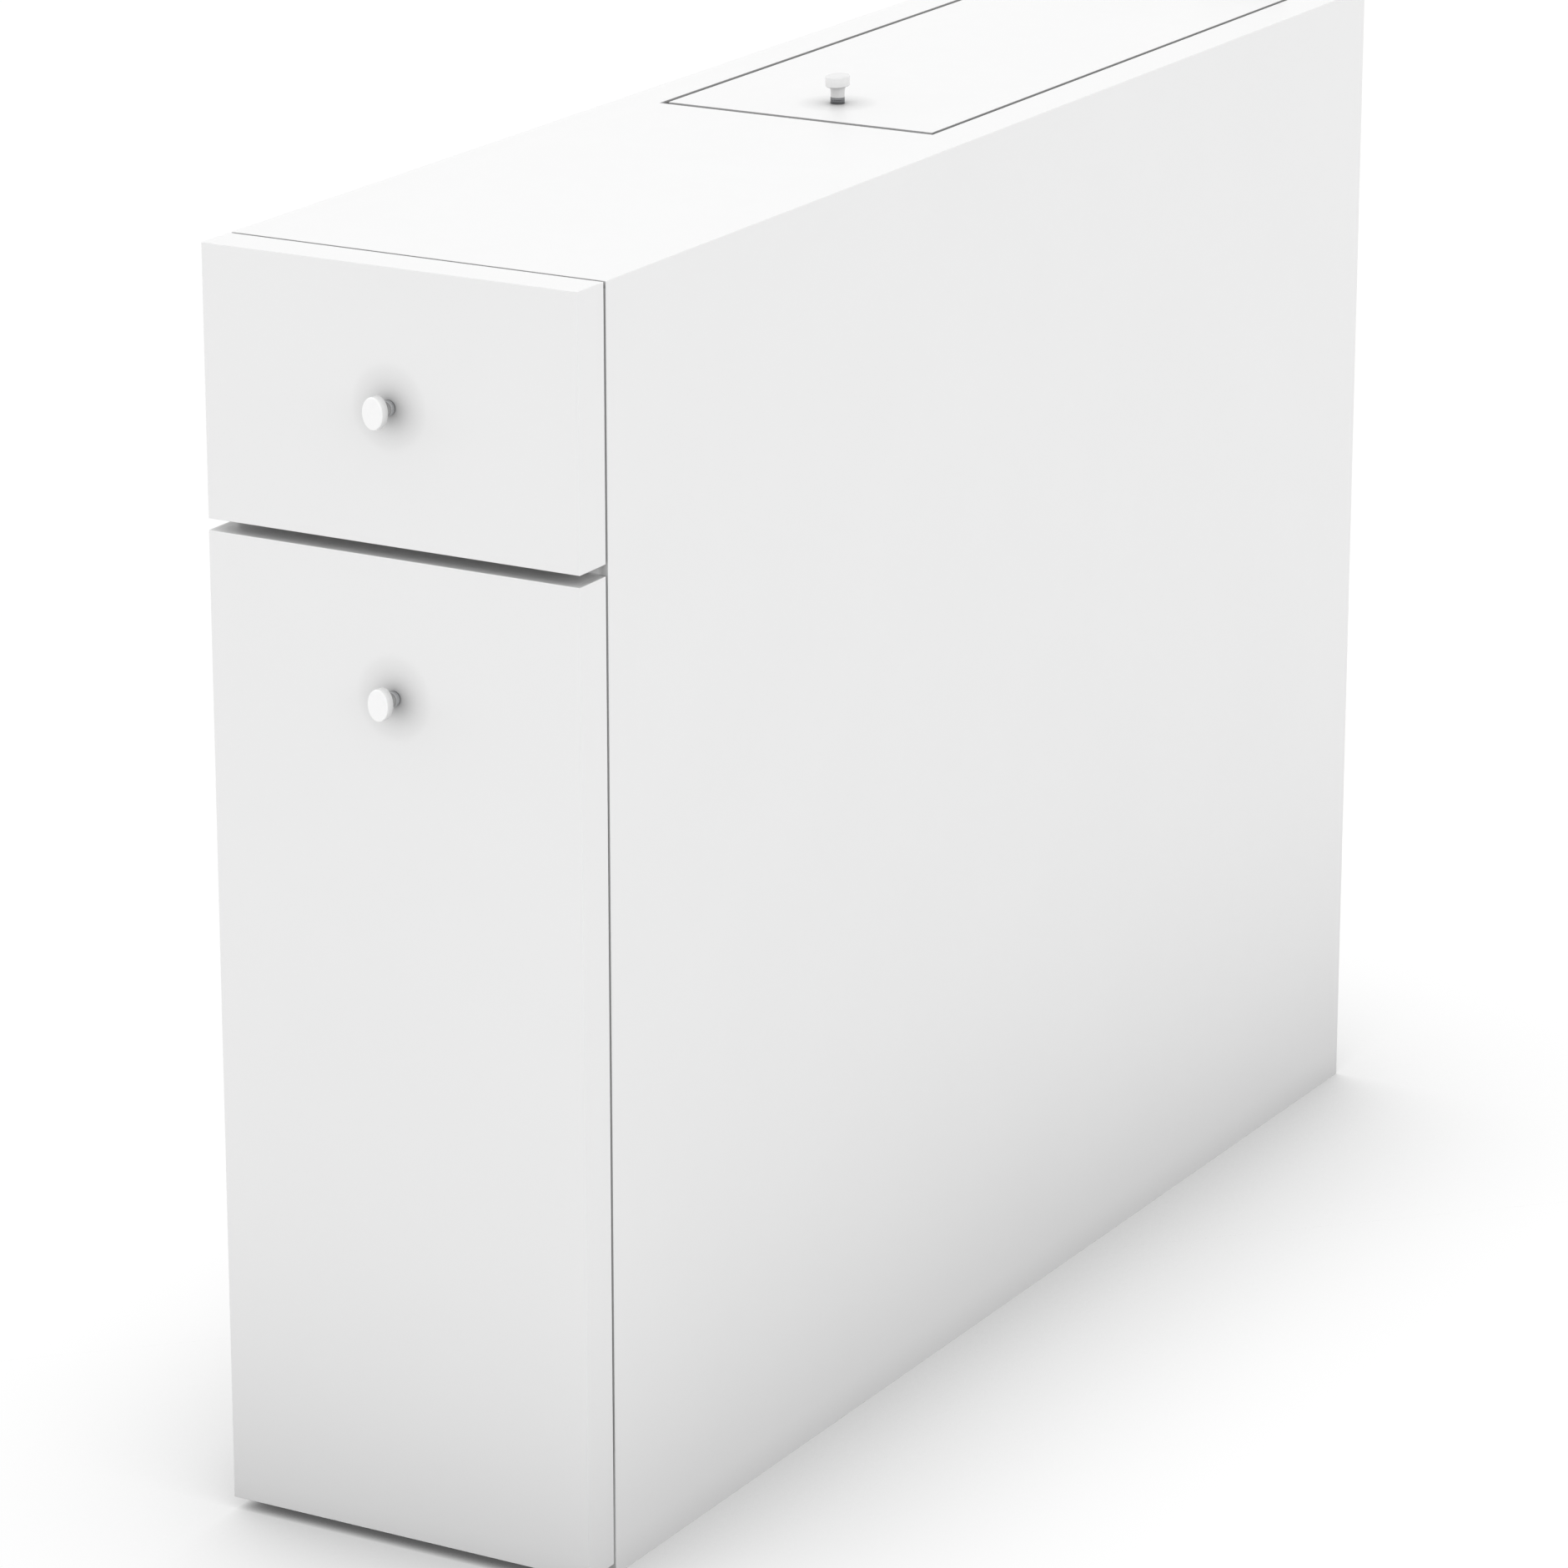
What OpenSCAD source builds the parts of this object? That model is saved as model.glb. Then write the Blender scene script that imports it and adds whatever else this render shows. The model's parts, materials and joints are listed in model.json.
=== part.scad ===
// Slim free-standing bathroom cabinet in white melamine-faced board: a small drawer
// over a tall pull-out at the front, and a deep well under a hinged lid at the rear.
// Millimetres, +Z up, fronts facing -Y. The origin is on the floor, under the middle
// of the cabinet's overall depth, knobs included.

/* [Cabinet] */
// Overall width of the carcass and of both fronts
cab_w = 160; // [150:1:220]
// Height to the top of the side panels
cab_h = 500; // [480:1:700]
// Depth of the side panels
side_d = 638; // [600:1:720]
// Thickness of carcass boards, fronts and lid
board_t = 18; // [16:0.5:19]
// Underside of the bottom panel above the floor
foot_h = 15; // [10:1:40]
// Front edge of the side panels to the middle of the seam in front of the lid
lid_seam_d = 279; // [276:1:300]
// Height of the board that stands on edge across the rear
rail_h = 80; // [70:1:120]
// Thickness of the hardboard back
back_t = 3; // [2.5:0.5:4]
// Reach of the back into each side panel
rebate_w = 8; // [6:0.5:10]
// Depth of the back's rear face inside the side panels' rear edges
back_inset = 1; // [0.8:0.1:2]
// Top edge of the back below the cabinet's top
back_drop = 2; // [1:0.5:6]

/* [Fronts] */
// Height of the upper front
upper_front_h = 104; // [96:1:120]
// Open gap between the two fronts
fronts_gap = 4.5; // [3:0.5:6]
// Lower front above the floor
front_clear = 5; // [3:0.5:9]
// Gap between the fronts and the carcass
front_gap = 1.5; // [0.8:0.1:2]
// Top of the lower front down to its knob
lower_knob_drop = 53; // [40:1:80]

/* [Lid] */
// Gap along the lid's sides
lid_gap = 2.2; // [1:0.1:3]
// Gap in front of the lid
lid_front_gap = 3.4; // [2:0.1:4]
// Lid's front edge back to its knob
lid_knob_d = 31.4; // [20:0.2:60]
// Length of one hinge
hinge_len = 40; // [32:1:44]
// Lid's side edge to the near end of a hinge
hinge_inset = 8; // [5:0.5:10]
// Height of a hinge leaf
leaf_h = 15; // [13:0.5:16]
// Sheet thickness of a hinge leaf
leaf_t = 1.2; // [1:0.1:1.5]
// Outer diameter of a hinge's knuckles
knuckle_d = 5; // [4.6:0.1:6]
// Diameter of a hinge pin
pin_d = 2.5; // [2:0.1:2.8]
// End of a hinge leaf to the middle of its nearest screw
hinge_screw_in = 7; // [5:0.5:9]
// Diameter of a rubber buffer
buffer_d = 6; // [4:0.5:7]
// Thickness of a rubber buffer
buffer_t = 1.5; // [1:0.1:2]
// Side panel's inner face to the middle of a buffer
buffer_in = 12; // [8:1:30]

/* [Knobs] */
// Length of a knob's oval disc, up the fronts and along the lid
knob_l = 12.4; // [11:0.1:15]
// Width of the disc, across the cabinet
knob_w = 8.8; // [8:0.1:10.8]
// Height of the disc's upright rim
rim_h = 3.2; // [2:0.1:5]
// Width and height of the rounded edge round the disc's face
knob_round = 1; // [0.6:0.1:1.5]
// Length of the waisted neck
neck_h = 4.4; // [3:0.1:8]
// Height of the neck's straight foot
neck_foot_h = 1.1; // [0.5:0.1:2]
// Diameter of the neck where it meets the collar
neck_d = 5.6; // [5.2:0.1:5.8]
// Diameter of the neck under the disc
neck_top_d = 7.2; // [6:0.1:7.2]
// Bevel round the disc's rear edge
knob_bevel = 0.3; // [0.2:0.1:0.6]
// Diameter of the dark collar
collar_d = 5.8; // [5.8:0.1:8]
// Height of the dark collar
collar_h = 2.6; // [1.5:0.1:5]
// Diameter of a knob screw
knob_screw_d = 3; // [2.5:0.1:3.5]
// Reach of a knob screw into its knob
knob_screw_grip = 4.4; // [3:0.1:5]

/* [Drawer and pull-out] */
// Room between the back of both boxes and the divider
box_back_gap = 21.5; // [15:0.1:30]
// Length of a box that stays in the cabinet when it is fully out
box_stay = 65; // [60:1:110]
// Thickness of box boards
box_t = 12; // [12:0.5:13]
// Room between the drawer's top edges and the fixed top panel
drawer_head_gap = 12; // [8:0.5:20]
// Height of the pull-out's lower sides
tray_h = 90; // [86:1:120]
// Height of the pull-out's back board
tray_back_h = 262; // [220:1:280]
// Lower edge of the pull-out up to the underside of its shelf
tray_shelf_rise = 152; // [140:1:170]
// Thickness of the drawer's hardboard bottom
bottom_t = 3; // [2.5:0.5:4]
// Depth of the groove that holds the drawer's bottom
groove_d = 5; // [3:0.5:6]
// Lower edge of a box side up to the underside of its bottom
bottom_rise = 9; // [8.5:0.5:12]
// Lower edge of the drawer up to its lower cam joints
drawer_joint_rise = 20; // [18:0.5:24]
// Drawer's top edges down to its upper cam joints
drawer_joint_drop = 16; // [10:0.5:18]
// Pull-out's base up to the lower cam joints of its sides
tray_joint_rise = 11; // [8:0.5:16]
// Top edge of the pull-out's sides down to their upper cam joints
tray_joint_drop = 20; // [12:0.5:24]
// Middle plane to a cam joint in the pull-out's shelf
shelf_cam_x = 25; // [18:0.5:28]
// Middle plane to a screw in the rear end of the pull-out's shelf
shelf_screw_x = 30; // [20:0.5:34]
// Front and back of the pull-out's sides to the screws of its base
base_screw_in = 60; // [45:1:70]
// Diameter of a guard rod
rod_d = 6; // [5:0.5:8]
// Height of a guard rod's middle above the shelf
rod_rise = 35; // [25:1:50]
// Seat of a guard rod's end in its board
rod_seat = 8; // [5:0.5:9]

/* [Runners] */
// Room for a runner between a box and a side panel
run_gap = 12.5; // [12.5:0.1:13.5]
// Sheet thickness of tracks and slides
sheet = 1.2; // [1:0.1:1.3]
// Height of the lips that close a track's channel
lip_h = 2; // [1:0.1:2.5]
// Foot of the bay up to the surface that the slide's rollers run on
track_rise = 6; // [5:0.5:10]
// Front edge of a side panel to the front end of its tracks
track_setback = 2; // [1:0.5:4]
// Front edge of a side panel to the first screw of its tracks
track_screw_d = 37; // [34:1:50]
// Rear end of a track to its last screw
track_screw_in = 19.2; // [14:0.1:30]
// Depth of the tab that stops the slide's roller at the front
stop_tab_h = 5; // [3:0.5:7]
// Back of the fronts to the front end of a slide
slide_setback = 2; // [1:0.5:4]
// Ends of a slide to its nearest screws
slide_screw_in = 28; // [24:1:40]
// Lower edge of a box side up to its slide screws
slide_screw_rise = 4.5; // [4:0.1:5]
// Width of the slide's foot under a box side
foot_flange = 12; // [8:0.5:12]
// Diameter of a roller
roller_d = 15; // [13:0.5:15]
// Diameter of a roller's axle
axle_d = 5; // [4:0.5:6]
// Middle of a roller from the end of the member that carries it
roller_end = 10; // [9:0.5:12]

/* [Fittings] */
// Diameter of a carcass cam lock
cam_d = 15; // [14:0.5:15]
// Height of a carcass cam lock
cam_h = 13.5; // [12.5:0.1:13.8]
// Board's end to the middle of a carcass cam lock
cam_in = 34; // [28:0.5:34]
// Edges of a carcass board to the middle of its nearest cam joint
joint_in = 50; // [40:1:70]
// Edges of the rear rail to its cam joint and its dowel
rail_joint_in = 22; // [16:1:26]
// Diameter of a carcass cam bolt
bolt_d = 7; // [6:0.5:7]
// Diameter of a box cam lock
box_cam_d = 12; // [10:0.5:12]
// Height of a box cam lock
box_cam_h = 9.5; // [9:0.1:10]
// Board's end to the middle of a box cam lock
box_cam_in = 24; // [20:0.5:28]
// Diameter of a box cam bolt
box_bolt_d = 5; // [4.5:0.5:5]
// Depth of a cam bolt's thread in the board that it pulls on
bolt_grip = 11; // [8:0.5:12]
// Diameter of a wood dowel
dowel_d = 8; // [6:0.5:8]
// Length of a wood dowel
dowel_l = 30; // [25:1:35]
// Reach of a dowel into a side panel
dowel_grip = 10.5; // [8:0.5:11]
// Shank diameter of the small screws in tracks, slides and hinges
screw_d = 3.5; // [3:0.1:4]
// Head diameter of the small screws
screw_head_d = 6.4; // [5.6:0.1:7]
// Length of the small screws in tracks and hinges
screw_l = 14; // [12:0.5:15]
// Length of the small screws in slides
slide_screw_l = 10; // [8:0.5:11]
// Shank diameter of the screws that hold the boxes together
box_screw_d = 4; // [3.5:0.1:4.5]
// Head diameter of the screws that hold the boxes together
box_screw_head_d = 7.6; // [6.5:0.1:8]
// Length of the screws that hold the boxes together
box_screw_l = 30; // [25:1:35]
// Diameter of a nail
nail_d = 1.6; // [1.4:0.1:2]
// Length of a nail
nail_l = 18; // [14:1:20]
// Ends of the back to its nearest nails in the side panels
nail_in = 25; // [15:1:40]
// Middle plane to the nails in the bottom panel and the rear rail
board_nail_x = 15; // [10:1:18]
// Cabinet's top down to the nails in the rear rail
rail_nail_drop = 12; // [8:1:16]

/* [Hidden] */
$fn = 48;

// Radial clearance of dowels, bolts, screws and nails in their holes
slip = 0.1;
// Radial clearance of a roller on its axle and of a hinge on its pin
run_fit = 0.05;
// Clearance of a panel in its groove or rebate
groove_slip = 0.15;
// Clearance between a roller and what it rolls on
roll_gap = 0.3;
// Clearance between a roller's faces and its shoulder and rivet head
side_play = 0.1;
// Clearance of moving steel that passes steel
steel_gap = 0.8;
// Clearance between a slide's web and the edge of the track beside it
web_gap = 1.1;
// Clearance between a roller and the lips beside it
lip_gap = 0.5;
// Clearance between a rivet head and the track behind it
rivet_gap = 0.4;
// Clearance between knuckles, and between a knuckle and a board
knuckle_gap = 0.3;
// Extra depth at the bottom of a blind hole
hole_spare = 0.5;
// Overshoot of a cut past a face
cut = 1;

// Finishes
white_board = "whitesmoke";
edge_white = "gainsboro";
hardboard = "burlywood";
steel = "silver";
dark_metal = "dimgray";
nylon = "ivory";
beech = "tan";

// Widths, measured from the middle plane
out_hw = cab_w / 2;
in_hw = out_hw - board_t;
box_hw = in_hw - run_gap;
box_in_hw = box_hw - box_t;
lid_hw = in_hw - lid_gap;

// Depths
knob_reach = collar_h + neck_h + rim_h + knob_round;
depth_all = knob_reach + board_t + front_gap + side_d;
rear_y = depth_all / 2;
side_y = rear_y - side_d;
box_y = side_y - front_gap;
front_y = box_y - board_t;
back_y1 = rear_y - back_inset;
back_y0 = back_y1 - back_t;
seam_y = side_y + lid_seam_d;
divider_y0 = seam_y - board_t / 2;
divider_y1 = seam_y + board_t / 2;
box_end_y = divider_y0 - box_back_gap;
travel = box_end_y - box_y - box_stay;
rail_y0 = back_y0 - board_t;
hinge_gap = 2 * leaf_t + knuckle_gap;
lid_y0 = seam_y + lid_front_gap / 2;
lid_y1 = rail_y0 - hinge_gap;
hinge_y = rail_y0 - hinge_gap / 2;

// Heights
deck_z = cab_h - board_t;
floor_z = foot_h + board_t;
divider_z1 = deck_z - buffer_t;
upper_z0 = cab_h - upper_front_h;
lower_z1 = upper_z0 - fronts_gap;
shelf_z = upper_z0 - fronts_gap / 2;
rail_z0 = cab_h - rail_h;
hinge_z = cab_h + knuckle_gap + knuckle_d / 2;
drawer_track_z = shelf_z + board_t / 2 + track_rise;
pullout_track_z = floor_z + track_rise;

// Runner section, as heights above the surface that the slide's rollers run on
chan_h = roller_d + 2 * roll_gap;
track_top = chan_h + sheet;
flange_z = track_top + steel_gap;
slide_foot = -sheet - steel_gap;
box_foot = slide_foot + sheet;
slide_roller_z = chan_h / 2;
track_roller_z = flange_z - roll_gap - roller_d / 2;

// Runner section, from the middle plane outwards
web_x = in_hw - sheet;
flange_out_x = web_x - steel_gap;
lip_x = box_hw + sheet + web_gap;
rivet_h = 0.8;
rivet_d = axle_d + 3;
shoulder_d = axle_d + 2;
roller_x0 = lip_x + sheet + lip_gap;
roller_x1 = web_x - rivet_gap - rivet_h - side_play;

// Runner stations along the depth
track_y0 = side_y + track_setback;
track_roller_y = track_y0 + roller_end;
slide_y0 = box_y + slide_setback;
slide_y1 = box_end_y;
slide_roller_y = slide_y1 - roller_end;
stop_y = slide_roller_y - travel - roller_d / 2 - roll_gap - sheet;
track_y1 = slide_roller_y + roller_d / 2 + roll_gap + sheet;
track_screw_ys = three_along(side_y + track_screw_d, track_y1 - track_screw_in);
slide_screw_ys = three_along(slide_y0 + slide_screw_in, slide_y1 - slide_screw_in);

// Box heights
drawer_z = drawer_track_z + box_foot;
drawer_h = deck_z - drawer_head_gap - drawer_z;
tray_z = pullout_track_z + box_foot;
tray_shelf_z = tray_z + tray_shelf_rise;
base_z = tray_z + bottom_rise;
tray_back_y = box_end_y - box_t;
rod_z = tray_shelf_z + box_t + rod_rise;
rod_x = box_hw - rod_d;

// Knob places
drawer_knob_z = upper_z0 + upper_front_h / 2;
pullout_knob_z = lower_z1 - lower_knob_drop;
lid_knob_y = lid_y0 + lid_knob_d;
knob_screw_l = board_t + collar_h + knob_screw_grip;

// Carcass joints on the right side panel: depth, height, turn of the cam's mouth
down = 0;
to_front = -90;
to_rear = 90;
top_mid_z = cab_h - board_t / 2;
bottom_mid_z = foot_h + board_t / 2;
rail_mid_y = rail_y0 + board_t / 2;
top_panel_y1 = seam_y - lid_front_gap / 2;
carcass_cam_places = [
    [side_y + joint_in, top_mid_z, down],
    [divider_y0 - joint_in, top_mid_z, down],
    [side_y + joint_in, shelf_z, down],
    [divider_y0 - joint_in, shelf_z, down],
    [side_y + joint_in, bottom_mid_z, down],
    [back_y0 - joint_in, bottom_mid_z, down],
    [seam_y, floor_z + joint_in, to_front],
    [seam_y, shelf_z - joint_in, to_front],
    [rail_mid_y, rail_z0 + rail_joint_in, to_rear]
];
dowel_places = [
    [(side_y + divider_y0) / 2, top_mid_z],
    [(side_y + divider_y0) / 2, shelf_z],
    [side_y + side_d / 3, bottom_mid_z],
    [side_y + side_d * 2 / 3, bottom_mid_z],
    [seam_y, (floor_z + shelf_z) / 2],
    [rail_mid_y, cab_h - rail_joint_in]
];

// Box joints: side board ends at the fronts, as heights above the box's lower edge
drawer_joint_rises = [drawer_joint_rise, drawer_h - drawer_joint_drop];
tray_joint_rises = [bottom_rise + box_t + tray_joint_rise, tray_h - tray_joint_drop];
box_side_mid = box_hw - box_t / 2;
base_screw_ys = [box_y + base_screw_in, tray_back_y - base_screw_in];
drawer_screw_y = box_end_y - box_t / 2;

// Hinges
hinge_x = lid_hw - hinge_inset - hinge_len / 2;
knuckle_l = (hinge_len - 2 * knuckle_gap) / 3;
hinge_screw_x = hinge_len / 2 - hinge_screw_in;
buffer_x = in_hw - buffer_in;
buffer_y = (lid_y0 + divider_y1) / 2;

// Nails
nail_head_d = 3.4;
nail_head_h = 0.6;
side_nails = 5;
side_nail_x = in_hw + rebate_w / 2;
side_nail_z0 = foot_h + nail_in;
side_nail_z1 = cab_h - back_drop - nail_in;
side_nail_step = (side_nail_z1 - side_nail_z0) / (side_nails - 1);
rail_nail_z = cab_h - rail_nail_drop;

// Steps in a knob's rounded edge and in the flare of its neck
knob_steps = 6;

// Cross recess of the screws, and the slots of the cam locks
recess_w = 0.7;
recess_h = 0.9;
knob_recess_h = 1.2;
screw_tip_d = 0.4;
cam_slot_w = 1.6;
cam_slot_h = 1.6;

// Three stations from one depth to another
function three_along(from_y, to_y) = [from_y, (from_y + to_y) / 2, to_y];

// Box from its lowest corner to its highest
module block(low, high) {
    translate(low) cube(high - low);
}

// The child and its mirror image on the other side of the middle plane
module both_sides() {
    children();
    mirror([1, 0, 0]) children();
}

// Screw or nail drawn with its head at the origin and its point down, turned to drive
// outwards along X on the right side, or along Y to the rear (+1) or to the front (-1)
module drive_out() {
    rotate([0, -90, 0]) children();
}
module drive_y(way) {
    rotate([way * 90, 0, 0]) children();
}

// Countersunk screw with a cross recess, head face at the origin, driven down
module wood_screw(d, head_d, l) {
    head_h = (head_d - d) / 2;
    recess = head_d * 0.5;
    difference() {
        union() {
            translate([0, 0, -head_h]) cylinder(d1 = d, d2 = head_d, h = head_h);
            translate([0, 0, d - l]) cylinder(d = d, h = l - d - head_h);
            translate([0, 0, -l]) cylinder(d1 = screw_tip_d, d2 = d, h = d);
        }
        for (a = [0, 90]) rotate(a)
            block([-recess / 2, -recess_w / 2, -recess_h], [recess / 2, recess_w / 2, cut]);
    }
}

// Room for a countersunk screw
module screw_room(d, head_d, l) {
    head_h = (head_d - d) / 2;
    translate([0, 0, -l - hole_spare]) cylinder(d = d + 2 * slip, h = l + hole_spare + cut);
    translate([0, 0, -head_h])
        cylinder(d1 = d + 2 * slip, d2 = head_d + 2 * slip, h = head_h);
    cylinder(d = head_d + 2 * slip, h = cut);
}

// Cam joint in its own frame: the origin is where the board's end meets the face that it
// is pulled to, +X runs into the board on its middle plane, and the cam's mouth is at -Z
module cam_lock(d, h, in, bolt, t) {
    slot = d * 0.6;
    difference() {
        translate([in, 0, -t / 2]) cylinder(d = d, h = h);
        translate([in - d, 0, 0]) rotate([0, 90, 0]) cylinder(d = bolt * 0.86, h = d + 1);
        for (a = [0, 90]) translate([in, 0, -t / 2]) rotate(a)
            block([-slot / 2, -cam_slot_w / 2, -cut], [slot / 2, cam_slot_w / 2, cam_slot_h]);
    }
}
module cam_bolt(d, in, cam_size) {
    head_d = d * 0.78;
    head_l = d * 0.4;
    shank_l = in - cam_size / 2 - 1;
    rotate([0, 90, 0]) {
        translate([0, 0, -bolt_grip]) cylinder(d = d * 0.8, h = bolt_grip);
        cylinder(d = d, h = shank_l);
        cylinder(d = d * 0.5, h = in);
        translate([0, 0, in - head_l]) cylinder(d = head_d, h = head_l);
    }
}
module cam_room(d, h, in, bolt, t) {
    translate([in, 0, -t / 2 - cut]) cylinder(d = d + 2 * slip, h = h + cut + slip);
    rotate([0, 90, 0]) translate([0, 0, -cut]) cylinder(d = bolt + 2 * slip, h = in + cut);
}
module bolt_room(bolt) {
    rotate([0, -90, 0])
        translate([0, 0, -cut]) cylinder(d = bolt * 0.8 + 2 * slip, h = bolt_grip + hole_spare + cut);
}

// Carcass joints on the right side, and their room in the boards
module at_carcass_cams() {
    for (p = carcass_cam_places)
        translate([in_hw, p[0], p[1]]) mirror([1, 0, 0]) rotate([p[2], 0, 0]) children();
}
module at_carcass_dowels() {
    for (p = dowel_places)
        translate([in_hw + dowel_grip, p[0], p[1]]) rotate([0, -90, 0]) children();
}
module carcass_joint_room() {
    both_sides() {
        at_carcass_cams() cam_room(cam_d, cam_h, cam_in, bolt_d, board_t);
        at_carcass_dowels() translate([0, 0, -hole_spare])
            cylinder(d = dowel_d + 2 * slip, h = dowel_l + 2 * hole_spare);
    }
}

// Runner stations on the right side
module at_track_screws(track_z) {
    for (y = track_screw_ys)
        translate([web_x, y, track_z + slide_roller_z]) drive_out() children();
}
module at_slide_screws(foot_z) {
    for (y = slide_screw_ys)
        translate([box_hw + sheet, y, foot_z + slide_screw_rise]) rotate([0, 90, 0]) children();
}
module small_screw_room(l) {
    screw_room(screw_d, screw_head_d, l);
}
module small_screw(l) {
    wood_screw(screw_d, screw_head_d, l);
}

// Nails on the right half
module at_nails() {
    for (i = [0:side_nails - 1])
        translate([side_nail_x, back_y1, side_nail_z0 + i * side_nail_step]) drive_y(-1) children();
    for (z = [bottom_mid_z, rail_nail_z])
        translate([board_nail_x, back_y1, z]) drive_y(-1) children();
}
module nail() {
    translate([0, 0, -nail_l]) cylinder(d = nail_d, h = nail_l);
    cylinder(d = nail_head_d, h = nail_head_h);
}
module nail_room() {
    translate([0, 0, -nail_l - hole_spare])
        cylinder(d = nail_d + 2 * slip, h = nail_l + hole_spare + cut);
}

// Carcass boards
module side_panel() {
    difference() {
        block([in_hw, side_y, 0], [out_hw, rear_y, cab_h]);
        block([in_hw - cut, back_y0 - groove_slip, -cut],
              [in_hw + rebate_w, rear_y + cut, cab_h + cut]);
        for (p = carcass_cam_places)
            translate([in_hw, p[0], p[1]]) mirror([1, 0, 0]) bolt_room(bolt_d);
        at_carcass_dowels() translate([0, 0, -hole_spare])
            cylinder(d = dowel_d + 2 * slip, h = dowel_l);
        for (z = [drawer_track_z, pullout_track_z])
            at_track_screws(z) small_screw_room(screw_l);
        at_nails() nail_room();
    }
}
module left_side_panel() {
    color(white_board) mirror([1, 0, 0]) side_panel();
}
module right_side_panel() {
    color(white_board) side_panel();
}
module bottom_panel() {
    color(white_board) difference() {
        block([-in_hw, side_y, foot_h], [in_hw, back_y0, floor_z]);
        carcass_joint_room();
        both_sides() at_nails() nail_room();
    }
}
module top_panel() {
    color(white_board) difference() {
        block([-in_hw, side_y, deck_z], [in_hw, top_panel_y1, cab_h]);
        carcass_joint_room();
    }
}
module bay_shelf() {
    color(white_board) difference() {
        block([-in_hw, side_y, shelf_z - board_t / 2],
              [in_hw, divider_y0, shelf_z + board_t / 2]);
        carcass_joint_room();
    }
}
module divider_panel() {
    color(white_board) difference() {
        block([-in_hw, divider_y0, floor_z], [in_hw, divider_y1, divider_z1]);
        carcass_joint_room();
    }
}
module rear_rail() {
    color(white_board) difference() {
        block([-in_hw, rail_y0, rail_z0], [in_hw, back_y0, cab_h]);
        carcass_joint_room();
        both_sides() at_nails() nail_room();
        both_sides() at_rail_hinge_screws() small_screw_room(screw_l);
    }
}
module back_panel() {
    back_hw = in_hw + rebate_w - groove_slip;
    color(hardboard) difference() {
        block([-back_hw, back_y0, foot_h], [back_hw, back_y1, cab_h - back_drop]);
        both_sides() at_nails() nail_room();
    }
}

// Carcass fasteners
module back_panel_nails() {
    color(steel) both_sides() at_nails() nail();
}
module carcass_dowels() {
    color(beech) both_sides() at_carcass_dowels() cylinder(d = dowel_d, h = dowel_l);
}
module carcass_cam_locks() {
    color(steel) both_sides()
        at_carcass_cams() cam_lock(cam_d, cam_h, cam_in, bolt_d, board_t);
}
module carcass_cam_bolts() {
    color(steel) both_sides() at_carcass_cams() cam_bolt(bolt_d, cam_in, cam_d);
}
module track_and_hinge_screws() {
    color(steel) both_sides() {
        for (z = [drawer_track_z, pullout_track_z])
            at_track_screws(z) small_screw(screw_l);
        at_rail_hinge_screws() small_screw(screw_l);
    }
}
module lid_buffers() {
    color("lightgray") both_sides()
        translate([buffer_x, buffer_y, divider_z1]) cylinder(d = buffer_d, h = buffer_t);
}

// Runner members on the right side, drawn at the height that their rollers run on
module axle_pin(from_x, to_x, y, z, shoulder_l) {
    way = to_x > from_x ? 90 : -90;
    reach = abs(to_x - from_x);
    translate([from_x, y, z]) rotate([0, way, 0]) {
        cylinder(d = shoulder_d, h = shoulder_l);
        cylinder(d = axle_d, h = reach);
        translate([0, 0, reach - rivet_h]) cylinder(d = rivet_d, h = rivet_h);
    }
}
module track(track_z) {
    color(steel) difference() {
        translate([0, 0, track_z]) union() {
            block([web_x, track_y0, -sheet], [in_hw, track_y1, track_top]);
            block([lip_x, track_y0, -sheet], [in_hw, track_y1, 0]);
            block([lip_x, track_y0, -sheet], [lip_x + sheet, track_y1, lip_h]);
            block([lip_x, stop_y, chan_h], [in_hw, track_y1, track_top]);
            block([lip_x, stop_y, chan_h - lip_h], [lip_x + sheet, track_y1, track_top]);
            block([lip_x, stop_y, chan_h - stop_tab_h], [in_hw, stop_y + sheet, track_top]);
            block([lip_x, track_y1 - sheet, -sheet], [in_hw, track_y1, track_top]);
            axle_pin(web_x, roller_x0 - side_play - rivet_h, track_roller_y, track_roller_z,
                     web_x - roller_x1 - side_play);
        }
        at_track_screws(track_z) small_screw_room(screw_l);
    }
}
module slide(track_z) {
    foot_z = track_z + box_foot;
    color(steel) difference() {
        translate([0, 0, track_z]) union() {
            block([box_hw, slide_y0, slide_foot], [box_hw + sheet, slide_y1, flange_z + sheet]);
            block([box_hw - foot_flange, slide_y0, slide_foot], [box_hw + sheet, slide_y1, box_foot]);
            block([box_hw, slide_y0, flange_z], [flange_out_x, slide_y1, flange_z + sheet]);
            axle_pin(box_hw + sheet, roller_x1 + side_play + rivet_h, slide_roller_y,
                     slide_roller_z, roller_x0 - side_play - box_hw - sheet);
        }
        at_slide_screws(foot_z) small_screw_room(slide_screw_l);
    }
}

// Crowned nylon roller on the right side, its bore along X
module roller(y, z) {
    edge = 0.6;
    r = roller_d / 2;
    w = roller_x1 - roller_x0;
    translate([roller_x0, y, z]) rotate([0, 90, 0]) rotate_extrude() polygon([
        [axle_d / 2 + run_fit, 0],
        [r - edge, 0],
        [r, edge],
        [r, w - edge],
        [r - edge, w],
        [axle_d / 2 + run_fit, w]
    ]);
}
module drawer_track_left() {
    mirror([1, 0, 0]) track(drawer_track_z);
}
module drawer_track_right() {
    track(drawer_track_z);
}
module pullout_track_left() {
    mirror([1, 0, 0]) track(pullout_track_z);
}
module pullout_track_right() {
    track(pullout_track_z);
}
module drawer_slide_left() {
    mirror([1, 0, 0]) slide(drawer_track_z);
}
module drawer_slide_right() {
    slide(drawer_track_z);
}
module pullout_slide_left() {
    mirror([1, 0, 0]) slide(pullout_track_z);
}
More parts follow.
